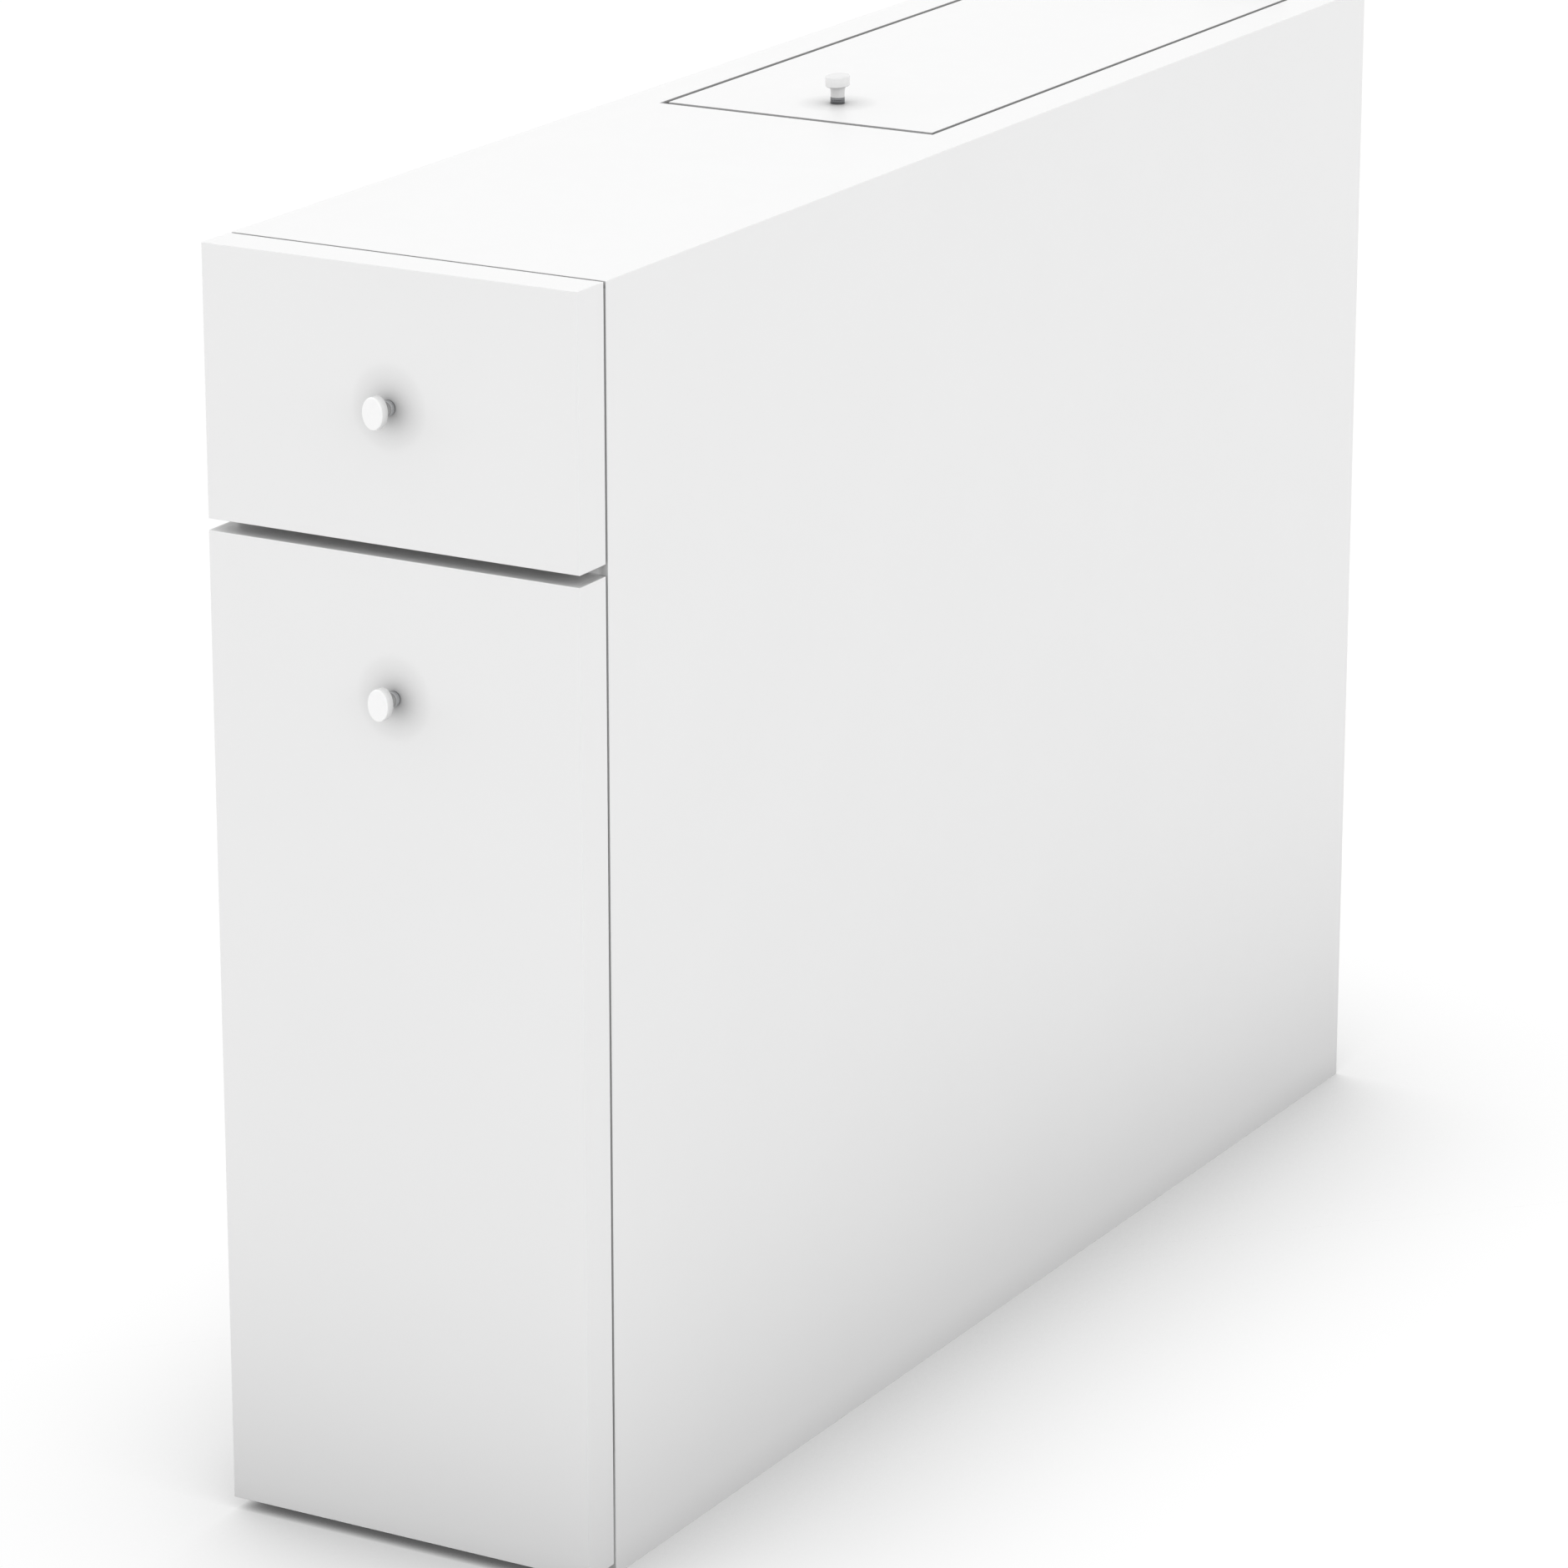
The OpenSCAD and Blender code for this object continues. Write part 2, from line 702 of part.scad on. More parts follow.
module pullout_slide_right() {
    slide(pullout_track_z);
}
module drawer_track_rollers() {
    color(nylon) both_sides() roller(track_roller_y, drawer_track_z + track_roller_z);
}
module drawer_slide_rollers() {
    color(nylon) both_sides() roller(slide_roller_y, drawer_track_z + slide_roller_z);
}
module pullout_track_rollers() {
    color(nylon) both_sides() roller(track_roller_y, pullout_track_z + track_roller_z);
}
module pullout_slide_rollers() {
    color(nylon) both_sides() roller(slide_roller_y, pullout_track_z + slide_roller_z);
}

// Cam joints between a box's right side board and its front, mouths inside the box
module at_side_cams(foot_z, rises) {
    for (rise = rises)
        translate([box_side_mid, box_y, foot_z + rise]) rotate([0, 0, 90]) rotate([90, 0, 0])
            children();
}
module at_shelf_cams() {
    translate([shelf_cam_x, box_y, tray_shelf_z + box_t / 2]) rotate([0, 0, 90]) children();
}
module box_cam_lock() {
    cam_lock(box_cam_d, box_cam_h, box_cam_in, box_bolt_d, box_t);
}
module box_cam_bolt() {
    cam_bolt(box_bolt_d, box_cam_in, box_cam_d);
}
module box_cam_room() {
    cam_room(box_cam_d, box_cam_h, box_cam_in, box_bolt_d, box_t);
}
module box_screw() {
    wood_screw(box_screw_d, box_screw_head_d, box_screw_l);
}
module box_screw_room() {
    screw_room(box_screw_d, box_screw_head_d, box_screw_l);
}

// Knob, standing on the face that it is screwed to
module at_drawer_knob() {
    translate([0, front_y, drawer_knob_z]) rotate([90, 0, 0]) children();
}
module at_pullout_knob() {
    translate([0, front_y, pullout_knob_z]) rotate([90, 0, 0]) children();
}
module at_lid_knob() {
    translate([0, lid_knob_y, cab_h]) children();
}
module knob_disc() {
    disc_z = collar_h + neck_h;
    rim_z = disc_z + rim_h;
    draw = (knob_l - knob_w) / 2;
    outline = concat(
        [[0, disc_z], [knob_w / 2 - knob_bevel, disc_z], [knob_w / 2, disc_z + knob_bevel]],
        [for (i = [0:knob_steps]) let (a = i * 90 / knob_steps)
            [knob_w / 2 - knob_round * (1 - cos(a)), rim_z + knob_round * sin(a)]],
        [[0, rim_z + knob_round]]
    );
    for (turn = [0, 180]) rotate(turn) {
        translate([0, draw, 0]) rotate_extrude(angle = 180, $fn = 64) polygon(outline);
        rotate([90, 0, 0]) linear_extrude(2 * draw, center = true) polygon(outline);
    }
}
module knob() {
    flare = (neck_top_d - neck_d) / 2;
    flare_z = collar_h + neck_foot_h;
    difference() {
        union() {
            knob_disc();
            rotate_extrude($fn = 64) polygon(concat(
                [[0, collar_h], [neck_d / 2, collar_h], [neck_d / 2, flare_z]],
                [for (i = [1:knob_steps]) let (a = i * 90 / knob_steps)
                    [neck_d / 2 + flare * (1 - cos(a)), flare_z + (neck_h - neck_foot_h) * sin(a)]],
                [[0, collar_h + neck_h]]
            ));
        }
        translate([0, 0, collar_h - cut])
            cylinder(d = knob_screw_d + 2 * slip, h = knob_screw_grip + hole_spare + cut);
    }
}
module knob_collar() {
    difference() {
        cylinder(d = collar_d, h = collar_h);
        translate([0, 0, -cut]) cylinder(d = knob_screw_d + 2 * slip, h = collar_h + 2 * cut);
    }
}
module knob_screw() {
    head_d = knob_screw_d * 2;
    head_h = knob_screw_d * 0.7;
    recess = head_d * 0.6;
    difference() {
        union() {
            translate([0, 0, -board_t]) cylinder(d = knob_screw_d, h = knob_screw_l);
            translate([0, 0, -board_t - head_h]) cylinder(d = head_d, h = head_h);
        }
        for (a = [0, 90]) translate([0, 0, -board_t - head_h]) rotate(a)
            block([-recess / 2, -recess_w / 2, -cut], [recess / 2, recess_w / 2, knob_recess_h]);
    }
}
module knob_screw_room() {
    translate([0, 0, -board_t - cut]) cylinder(d = knob_screw_d + 2 * slip, h = board_t + 2 * cut);
}

// Drawer
module drawer_groove() {
    half = box_in_hw + groove_d + groove_slip;
    z0 = drawer_z + bottom_rise - groove_slip;
    block([-half, box_y - groove_d - groove_slip, z0],
          [half, box_end_y - box_t + groove_d + groove_slip, z0 + bottom_t + 2 * groove_slip]);
}
module at_drawer_screws() {
    for (rise = drawer_joint_rises)
        translate([box_hw, drawer_screw_y, drawer_z + rise]) rotate([0, 90, 0]) children();
}
module drawer_front() {
    color(white_board) difference() {
        block([-out_hw, front_y, upper_z0], [out_hw, box_y, cab_h]);
        both_sides() for (rise = drawer_joint_rises)
            translate([box_side_mid, box_y, drawer_z + rise]) rotate(90) bolt_room(box_bolt_d);
        drawer_groove();
        at_drawer_knob() knob_screw_room();
    }
}
module drawer_side() {
    difference() {
        block([box_in_hw, box_y, drawer_z], [box_hw, box_end_y, drawer_z + drawer_h]);
        at_side_cams(drawer_z, drawer_joint_rises) box_cam_room();
        at_slide_screws(drawer_z) small_screw_room(slide_screw_l);
        at_drawer_screws() box_screw_room();
        drawer_groove();
    }
}
module drawer_side_left() {
    color(edge_white) mirror([1, 0, 0]) drawer_side();
}
module drawer_side_right() {
    color(edge_white) drawer_side();
}
module drawer_back() {
    color(edge_white) difference() {
        block([-box_in_hw, box_end_y - box_t, drawer_z], [box_in_hw, box_end_y, drawer_z + drawer_h]);
        both_sides() at_drawer_screws() box_screw_room();
        drawer_groove();
    }
}
module drawer_bottom() {
    half = box_in_hw + groove_d;
    z0 = drawer_z + bottom_rise;
    color(white_board)
        block([-half, box_y - groove_d, z0], [half, box_end_y - box_t + groove_d, z0 + bottom_t]);
}
module drawer_slide_screws() {
    color(steel) both_sides() at_slide_screws(drawer_z) small_screw(slide_screw_l);
}
module drawer_cam_locks() {
    color(steel) both_sides() at_side_cams(drawer_z, drawer_joint_rises) box_cam_lock();
}
module drawer_cam_bolts() {
    color(steel) both_sides() at_side_cams(drawer_z, drawer_joint_rises) box_cam_bolt();
}
module drawer_box_screws() {
    color(steel) both_sides() at_drawer_screws() box_screw();
}
module drawer_knob() {
    color("white") at_drawer_knob() knob();
}
module drawer_knob_collar() {
    color(dark_metal) at_drawer_knob() knob_collar();
}
module drawer_knob_screw() {
    color(steel) at_drawer_knob() knob_screw();
}

// Pull-out
module at_base_screws() {
    for (y = base_screw_ys)
        translate([box_hw, y, base_z + box_t / 2]) rotate([0, 90, 0]) children();
}
module at_tray_back_screws() {
    for (rise = tray_joint_rises)
        translate([box_side_mid, box_end_y, tray_z + rise]) drive_y(-1) children();
    translate([shelf_screw_x, box_end_y, tray_shelf_z + box_t / 2]) drive_y(-1) children();
}
module guard_rod(spare) {
    translate([rod_x, box_y - rod_seat - spare, rod_z]) rotate([-90, 0, 0])
        cylinder(d = rod_d + 2 * spare, h = tray_back_y - box_y + 2 * rod_seat + 2 * spare);
}
module pullout_front() {
    color(white_board) difference() {
        block([-out_hw, front_y, front_clear], [out_hw, box_y, lower_z1]);
        both_sides() {
            for (rise = tray_joint_rises)
                translate([box_side_mid, box_y, tray_z + rise]) rotate(90) bolt_room(box_bolt_d);
            translate([shelf_cam_x, box_y, tray_shelf_z + box_t / 2]) rotate(90)
                bolt_room(box_bolt_d);
            guard_rod(slip);
        }
        at_pullout_knob() knob_screw_room();
    }
}
module pullout_side() {
    difference() {
        block([box_in_hw, box_y, tray_z], [box_hw, tray_back_y, tray_z + tray_h]);
        at_side_cams(tray_z, tray_joint_rises) box_cam_room();
        at_slide_screws(tray_z) small_screw_room(slide_screw_l);
        at_base_screws() box_screw_room();
        at_tray_back_screws() box_screw_room();
    }
}
module pullout_side_left() {
    color(edge_white) mirror([1, 0, 0]) pullout_side();
}
module pullout_side_right() {
    color(edge_white) pullout_side();
}
module pullout_back() {
    color(edge_white) difference() {
        block([-box_hw, tray_back_y, tray_z], [box_hw, box_end_y, tray_z + tray_back_h]);
        both_sides() {
            at_tray_back_screws() box_screw_room();
            guard_rod(slip);
        }
    }
}
module pullout_base() {
    color(edge_white) difference() {
        block([-box_in_hw, box_y, base_z], [box_in_hw, tray_back_y, base_z + box_t]);
        both_sides() at_base_screws() box_screw_room();
    }
}
module pullout_shelf() {
    color(edge_white) difference() {
        block([-box_hw, box_y, tray_shelf_z], [box_hw, tray_back_y, tray_shelf_z + box_t]);
        both_sides() {
            at_shelf_cams() box_cam_room();
            at_tray_back_screws() box_screw_room();
        }
    }
}
module pullout_guard_rods() {
    color(steel) both_sides() guard_rod(0);
}
module pullout_slide_screws() {
    color(steel) both_sides() at_slide_screws(tray_z) small_screw(slide_screw_l);
}
module pullout_cam_locks() {
    color(steel) both_sides() {
        at_side_cams(tray_z, tray_joint_rises) box_cam_lock();
        at_shelf_cams() box_cam_lock();
    }
}
module pullout_cam_bolts() {
    color(steel) both_sides() {
        at_side_cams(tray_z, tray_joint_rises) box_cam_bolt();
        at_shelf_cams() box_cam_bolt();
    }
}
module pullout_box_screws() {
    color(steel) both_sides() {
        at_base_screws() box_screw();
        at_tray_back_screws() box_screw();
    }
}
module pullout_knob() {
    color("white") at_pullout_knob() knob();
}
module pullout_knob_collar() {
    color(dark_metal) at_pullout_knob() knob_collar();
}
module pullout_knob_screw() {
    color(steel) at_pullout_knob() knob_screw();
}

// Lid and its hinges, drawn for the right-hand hinge
module at_rail_hinge_screws() {
    for (s = [-1, 1])
        translate([hinge_x + s * hinge_screw_x, rail_y0 - leaf_t, top_mid_z]) drive_y(1) children();
}
module at_lid_hinge_screws() {
    for (s = [-1, 1])
        translate([hinge_x + s * hinge_screw_x, lid_y1 + leaf_t, top_mid_z]) drive_y(-1) children();
}
module knuckle(x0) {
    translate([x0, hinge_y, hinge_z]) rotate([0, 90, 0]) cylinder(d = knuckle_d, h = knuckle_l);
}
module pin_room() {
    translate([hinge_x - hinge_len / 2 - cut, hinge_y, hinge_z]) rotate([0, 90, 0])
        cylinder(d = pin_d + 2 * run_fit, h = hinge_len + 2 * cut);
}
module leaf(y0, knuckle_starts) {
    x0 = hinge_x - hinge_len / 2;
    block([x0, y0, cab_h - leaf_h], [x0 + hinge_len, y0 + leaf_t, cab_h - knuckle_gap]);
    for (x = knuckle_starts) {
        block([x, y0, cab_h - leaf_h], [x + knuckle_l, y0 + leaf_t, hinge_z]);
        knuckle(x);
    }
}
module rail_hinge_leaves() {
    x0 = hinge_x - hinge_len / 2;
    color(steel) both_sides() difference() {
        leaf(rail_y0 - leaf_t, [x0, x0 + hinge_len - knuckle_l]);
        pin_room();
        at_rail_hinge_screws() small_screw_room(screw_l);
    }
}
module lid_hinge_leaves() {
    color(steel) both_sides() difference() {
        leaf(lid_y1, [hinge_x - knuckle_l / 2]);
        pin_room();
        at_lid_hinge_screws() small_screw_room(screw_l);
    }
}
module hinge_pins() {
    color(steel) both_sides()
        translate([hinge_x - hinge_len / 2, hinge_y, hinge_z]) rotate([0, 90, 0])
            cylinder(d = pin_d, h = hinge_len);
}
module lid_panel() {
    color(white_board) difference() {
        block([-lid_hw, lid_y0, deck_z], [lid_hw, lid_y1, cab_h]);
        both_sides() at_lid_hinge_screws() small_screw_room(screw_l);
        at_lid_knob() knob_screw_room();
    }
}
module lid_hinge_screws() {
    color(steel) both_sides() at_lid_hinge_screws() small_screw(screw_l);
}
module lid_knob() {
    color("white") at_lid_knob() knob();
}
module lid_knob_collar() {
    color(dark_metal) at_lid_knob() knob_collar();
}
module lid_knob_screw() {
    color(steel) at_lid_knob() knob_screw();
}

left_side_panel();
right_side_panel();
bottom_panel();
top_panel();
bay_shelf();
divider_panel();
rear_rail();
back_panel();
back_panel_nails();
carcass_dowels();
carcass_cam_locks();
carcass_cam_bolts();
drawer_track_left();
drawer_track_right();
pullout_track_left();
pullout_track_right();
track_and_hinge_screws();
rail_hinge_leaves();
hinge_pins();
lid_buffers();
drawer_front();
drawer_side_left();
drawer_side_right();
drawer_back();
drawer_bottom();
drawer_slide_left();
drawer_slide_right();
drawer_slide_screws();
drawer_cam_locks();
drawer_cam_bolts();
drawer_box_screws();
drawer_knob();
drawer_knob_collar();
drawer_knob_screw();
pullout_front();
pullout_side_left();
pullout_side_right();
pullout_back();
pullout_base();
pullout_shelf();
pullout_guard_rods();
pullout_slide_left();
pullout_slide_right();
pullout_slide_screws();
pullout_cam_locks();
pullout_cam_bolts();
pullout_box_screws();
pullout_knob();
pullout_knob_collar();
pullout_knob_screw();
lid_panel();
lid_hinge_leaves();
lid_hinge_screws();
lid_knob();
lid_knob_collar();
lid_knob_screw();
drawer_track_rollers();
drawer_slide_rollers();
pullout_track_rollers();
pullout_slide_rollers();
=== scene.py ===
"""Slim white bathroom cabinet: its finishes, knobs and rollers round the CAD frame, in a plain
white studio"""

import json
from math import cos, pi, radians, sin

import bmesh
import bpy
from mathutils import Matrix, Vector


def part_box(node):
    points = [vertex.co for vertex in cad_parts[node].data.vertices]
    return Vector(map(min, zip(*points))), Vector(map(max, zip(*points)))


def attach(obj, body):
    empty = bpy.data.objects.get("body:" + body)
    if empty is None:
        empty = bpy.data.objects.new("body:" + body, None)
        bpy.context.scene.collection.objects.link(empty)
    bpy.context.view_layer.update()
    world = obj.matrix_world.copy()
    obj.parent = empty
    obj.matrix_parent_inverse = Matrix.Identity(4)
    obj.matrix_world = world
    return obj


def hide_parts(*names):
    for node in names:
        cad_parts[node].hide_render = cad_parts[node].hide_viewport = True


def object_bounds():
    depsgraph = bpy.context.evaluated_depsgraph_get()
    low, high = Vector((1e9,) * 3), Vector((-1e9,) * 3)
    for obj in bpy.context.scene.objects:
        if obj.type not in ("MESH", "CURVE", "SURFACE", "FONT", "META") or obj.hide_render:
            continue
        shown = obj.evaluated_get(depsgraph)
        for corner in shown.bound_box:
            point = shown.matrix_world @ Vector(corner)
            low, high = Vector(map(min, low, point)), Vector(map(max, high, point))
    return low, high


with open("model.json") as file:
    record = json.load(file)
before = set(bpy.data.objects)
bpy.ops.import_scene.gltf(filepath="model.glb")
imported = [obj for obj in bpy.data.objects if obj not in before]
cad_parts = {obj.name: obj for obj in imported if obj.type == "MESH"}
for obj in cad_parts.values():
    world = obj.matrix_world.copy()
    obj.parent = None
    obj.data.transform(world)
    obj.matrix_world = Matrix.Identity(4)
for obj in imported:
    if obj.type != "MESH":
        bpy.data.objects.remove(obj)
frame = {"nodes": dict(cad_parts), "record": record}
CAD_LOW, CAD_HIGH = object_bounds()
BODY_OF = {
    node: body
    for body, nodes in frame["record"]["behaviour"]["bodies"].items()
    for node in nodes
}
SLOT_OF = {part["node"]: part["material_slot"] for part in frame["record"]["subparts"]}

# Units
MM = 0.001

# Camera, at the photograph's angle
CAMERA_AZIMUTH = radians(29.62)
CAMERA_ELEVATION = radians(17.47)
CAMERA_DISTANCE = 2.699
CAMERA_TARGET = Vector((0.0109, -0.054, 0.2338))
CAMERA_SENSOR = 36.0
CAMERA_LENS = 153.9
CAMERA_NEAR = 0.1
CAMERA_FAR = 100

# Light of the dome, straight up and at the horizon
ZENITH_LIGHT = 0.825
HORIZON_LIGHT = 1.64

# Floor: its size, how far it lies under the cabinet, and the light that it sends up, which grows
# between these distances from the cabinet's foot
FLOOR_SIZE = 60.0
FLOOR_DROP = 0.05 * MM
BOUNCE_FROM = 70 * MM
BOUNCE_TO = 155 * MM
BOUNCE_LEAST = 0.02
BOUNCE_MOST = 0.61

# Shadow on the floor: a wide one that fades along a curve, a narrow one at the foot, and how
# bright the floor is without and with all of it
SHADOW_REACH = 185 * MM
SHADOW_DEPTH = 0.36
SHADOW_CURVE = 1.5
SHADOW_SAMPLES = 16
CONTACT_REACH = 45 * MM
CONTACT_DEPTH = 0.05
FLOOR_BRIGHTEST = 1.01
FLOOR_DARKEST = 0.09
# Share of the sky that a tall wall hides from the floor at its foot
WALL_HIDES = 0.5

# Painted shade, darkening a surface's colour where other surfaces stand close: its colour, the
# share of open sky at which it is deepest, and how finely it is sampled
SHADE_COLOUR = "#303030"
SHADE_DEEPEST_AT = 0.3
SHADE_SAMPLES = 8

# The same painted shade in the joints between boards: how far off a neighbour counts, and how
# deep it is at the cabinet's sides, top and fronts, on the boards' faces and on their edge bands
JOINT_REACH = 14 * MM
FACE_JOINTS = (0.62, 0.7, 0.62)
BAND_JOINTS = (0.44, 0.7, 0.35)
# Depths below the cabinet's outer sides between which it sets in, and in front of the fronts' rear
SKIN_FROM = 4.2 * MM
SKIN_TO = 2.4 * MM
FRONT_SKIN = 0.5 * MM
# Heights above the floor between which it sets in, and the share that is left below them
JOINT_FLOOR_FROM = 10 * MM
JOINT_FLOOR_TO = 60 * MM
JOINT_FLOOR_SHARE = 0.2

# The same painted shade on the knobs and on their collars
KNOB_REACH = 14 * MM
COLLAR_REACH = 1.6 * MM
COLLAR_SHADE = 1.0

# Values between which a noise texture mostly stays
NOISE_LOW = 0.3
NOISE_HIGH = 0.7

# How far melamine's roughness strays either way, and the shares of a metal's roughness between
# which it varies
MELAMINE_STRAY = 0.04
METAL_SMOOTHEST = 0.75
METAL_ROUGHEST = 1.3

# Eased edges, and the sheet metal edges that are long and square enough to be eased
BOARD_EDGE = 0.15 * MM
BOX_EDGE = 0.3 * MM
HARDBOARD_EDGE = 0.2 * MM
SHEET_EDGE = 0.25 * MM
SHEET_EDGE_MIN = 3 * MM
SHEET_EDGE_TURN = radians(80)
EDGE_STEPS = 4

# How close points are when they are one, how flat a face is that was split, how square and how
# near a face is that lies on a board's outer side, and the least turn of a sharp edge
SAME_POINT = 0.001 * MM
SAME_PLANE = radians(0.5)
SQUARE_ON = 0.999
ON_SIDE = 0.02 * MM
SHARP_TURN = radians(35)

# Knobs, as lengths from the face they stand on
COLLAR_H = 2.6 * MM
NECK_H = 4.4 * MM
NECK_FOOT_H = 1.1 * MM
NECK_D = 5.6 * MM
NECK_TOP_D = 7.2 * MM
NECK_STEPS = 10
DISC_H = 4.2 * MM
KNOB_ROUND = 0.4 * MM
KNOB_BEVEL = 0.3 * MM
KNOB_STEPS = 96
COLLAR_BEVEL = 0.25 * MM
COLLAR_GROOVES = (0.8 * MM, 1.55 * MM)
GROOVE_W = 0.28 * MM
GROOVE_DEPTH = 0.12 * MM

# Rollers
ROLLER_W = 6.0 * MM
ROLLER_BORE = 5.1 * MM
ROLLER_ROUND = 0.7 * MM
ROLLER_HUB_D = 8.6 * MM
ROLLER_DISH = 0.6 * MM
ROLLER_STEPS = 64

# Sockets of Blender's Mix node, whose names repeat for each kind of value
FACTOR, NUMBER_A, NUMBER_B, COLOUR_A, COLOUR_B = 0, 2, 3, 6, 7
COLOUR_OUT = 2


def linear(hex_colour):
    """An sRGB hex colour as linear RGBA"""
    srgb = [int(hex_colour[i : i + 2], 16) / 255 for i in (1, 3, 5)]
    return [c / 12.92 if c <= 0.04045 else ((c + 0.055) / 1.055) ** 2.4 for c in srgb] + [1.0]


def per_mm(size):
    """Texture scale at which a pattern's cell is that many millimetres"""
    return 1 / (size * MM)


def add(tree, kind, inputs, **settings):
    """Adds a node with its settings, and sets or links its inputs"""
    made = tree.nodes.new(kind)
    for name, setting in settings.items():
        setattr(made, name, setting)
    for socket, value in inputs.items():
        if isinstance(value, bpy.types.NodeSocket):
            tree.links.new(value, made.inputs[socket])
        else:
            made.inputs[socket].default_value = value
    return made


def start_material(name, **values):
    """A material with a Principled shader: its tree, its shader and the piece's own coordinates"""
    made = bpy.data.materials.new(name)
    made.use_nodes = True
    tree = made.node_tree
    shader = tree.nodes["Principled BSDF"]
    for socket, value in values.items():
        shader.inputs[socket.replace("_", " ")].default_value = value
    return made, tree, shader, add(tree, "ShaderNodeTexCoord", {}).outputs["Object"]


def beside_neighbours(tree, reach, deepest):
    """Share of painted shade that a surface's colour gets where others stand within reach"""
    sky = add(tree, "ShaderNodeAmbientOcclusion", {"Distance": reach}, samples=SHADE_SAMPLES)
    closed = {
        "Value": sky.outputs["AO"],
        "From Min": 1.0,
        "From Max": SHADE_DEEPEST_AT,
        "To Max": deepest,
    }
    return add(tree, "ShaderNodeMapRange", closed).outputs[0]


def in_joints(tree, place, deepest):
    """The same painted shade, only in the cabinet's outer skin: its sides, its top and the fronts'
    thickness
    """
    out = CAD_HIGH.x
    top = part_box("right_side_panel")[1].z
    front_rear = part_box("drawer_front")[1].y
    axes = add(tree, "ShaderNodeSeparateXYZ", {"Vector": place}).outputs
    across = add(tree, "ShaderNodeMath", {0: axes["X"]}, operation="ABSOLUTE").outputs[0]
    skin = 0.0
    for depth, start, end, most in (
        (across, out - SKIN_FROM, out - SKIN_TO, deepest[0]),
        (axes["Z"], top - SKIN_FROM, top - SKIN_TO, deepest[1]),
        (axes["Y"], front_rear, front_rear - FRONT_SKIN, deepest[2]),
    ):
        near = add(
            tree,
            "ShaderNodeMapRange",
            {"Value": depth, "From Min": start, "From Max": end, "To Max": most},
        ).outputs[0]
        skin = add(tree, "ShaderNodeMath", {0: near, 1: skin}, operation="MAXIMUM").outputs[0]
    off_floor = {
        "Value": axes["Z"],
        "From Min": JOINT_FLOOR_FROM,
        "From Max": JOINT_FLOOR_TO,
        "To Min": JOINT_FLOOR_SHARE,
    }
    above = add(tree, "ShaderNodeMapRange", off_floor).outputs[0]
    drawn = add(tree, "ShaderNodeMath", {0: skin, 1: above}, operation="MULTIPLY").outputs[0]
    share = beside_neighbours(tree, JOINT_REACH, 1.0)
    return add(tree, "ShaderNodeMath", {0: share, 1: drawn}, operation="MULTIPLY").outputs[0]


# Melamine-faced chipboard: paper set in resin and pressed against a pearl-textured plate.
# It gives a flat white with a soft sheen, broken up by shallow pebbles.
def melamine(name, light, dark, roughness, joints=False):
    made, tree, shader, place = start_material(name, IOR=1.5)
    cloud = add(tree, "ShaderNodeTexNoise", {"Vector": place, "Scale": per_mm(70), "Detail": 3.0})
    tones = {FACTOR: cloud.outputs[0], COLOUR_A: linear(dark), COLOUR_B: linear(light)}
    colour = add(tree, "ShaderNodeMix", tones, data_type="RGBA").outputs[COLOUR_OUT]
    # Painted shade: on the outer boards the colour darkens in the joints and round the knobs' feet,
    # where little light gets in
    if joints:
        shade = {
            FACTOR: in_joints(tree, place, FACE_JOINTS),
            COLOUR_A: colour,
            COLOUR_B: linear(SHADE_COLOUR),
        }
        colour = add(tree, "ShaderNodeMix", shade, data_type="RGBA").outputs[COLOUR_OUT]
    tree.links.new(colour, shader.inputs["Base Color"])
    sheen = add(tree, "ShaderNodeTexNoise", {"Vector": place, "Scale": per_mm(9), "Detail": 4.0})
    spread = {
        "Value": sheen.outputs[0],
        "From Min": NOISE_LOW,
        "From Max": NOISE_HIGH,
        "To Min": roughness - MELAMINE_STRAY,
        "To Max": roughness + MELAMINE_STRAY,
    }
    rough = add(tree, "ShaderNodeMapRange", spread)
    tree.links.new(rough.outputs[0], shader.inputs["Roughness"])
    # The real pebbles are about 0.4 mm; they are drawn at 1 mm so that a render can show them
    pebble = add(tree, "ShaderNodeTexNoise", {"Vector": place, "Scale": per_mm(1.0), "Detail": 1.5})
    relief = {"Height": pebble.outputs[0], "Strength": 0.35, "Distance": 0.04 * MM}
    tree.links.new(add(tree, "ShaderNodeBump", relief).outputs[0], shader.inputs["Normal"])
    return made


# ABS edge band: extruded plastic strip, planed flush. It gives a slightly glossier, smoother
# white than the boards' faces, with faint lines from the trimming knives.
def edge_band():
    made, tree, shader, place = start_material("abs_edge_band", IOR=1.49)
    cloud = add(tree, "ShaderNodeTexNoise", {"Vector": place, "Scale": per_mm(35), "Detail": 2.0})
    tones = {FACTOR: cloud.outputs[0], COLOUR_A: linear("#EFEFEF"), COLOUR_B: linear("#F0F0F0")}
    colour = add(tree, "ShaderNodeMix", tones, data_type="RGBA").outputs[COLOUR_OUT]
    # Painted shade: the band's colour darkens inside the seams of the outer boards, where little
    # light gets in
    shade = {
        FACTOR: in_joints(tree, place, BAND_JOINTS),
        COLOUR_A: colour,
        COLOUR_B: linear(SHADE_COLOUR),
    }
    colour = add(tree, "ShaderNodeMix", shade, data_type="RGBA").outputs[COLOUR_OUT]
    tree.links.new(colour, shader.inputs["Base Color"])
    knife = add(tree, "ShaderNodeTexNoise", {"Vector": place, "Scale": per_mm(2.2), "Detail": 2.0})
    spread = {"Value": knife.outputs[0], "To Min": 0.3, "To Max": 0.4}
    rough = add(tree, "ShaderNodeMapRange", spread)
    tree.links.new(rough.outputs[0], shader.inputs["Roughness"])
    relief = {"Height": knife.outputs[0], "Strength": 0.2, "Distance": 0.03 * MM}
    tree.links.new(add(tree, "ShaderNodeBump", relief).outputs[0], shader.inputs["Normal"])
    return made


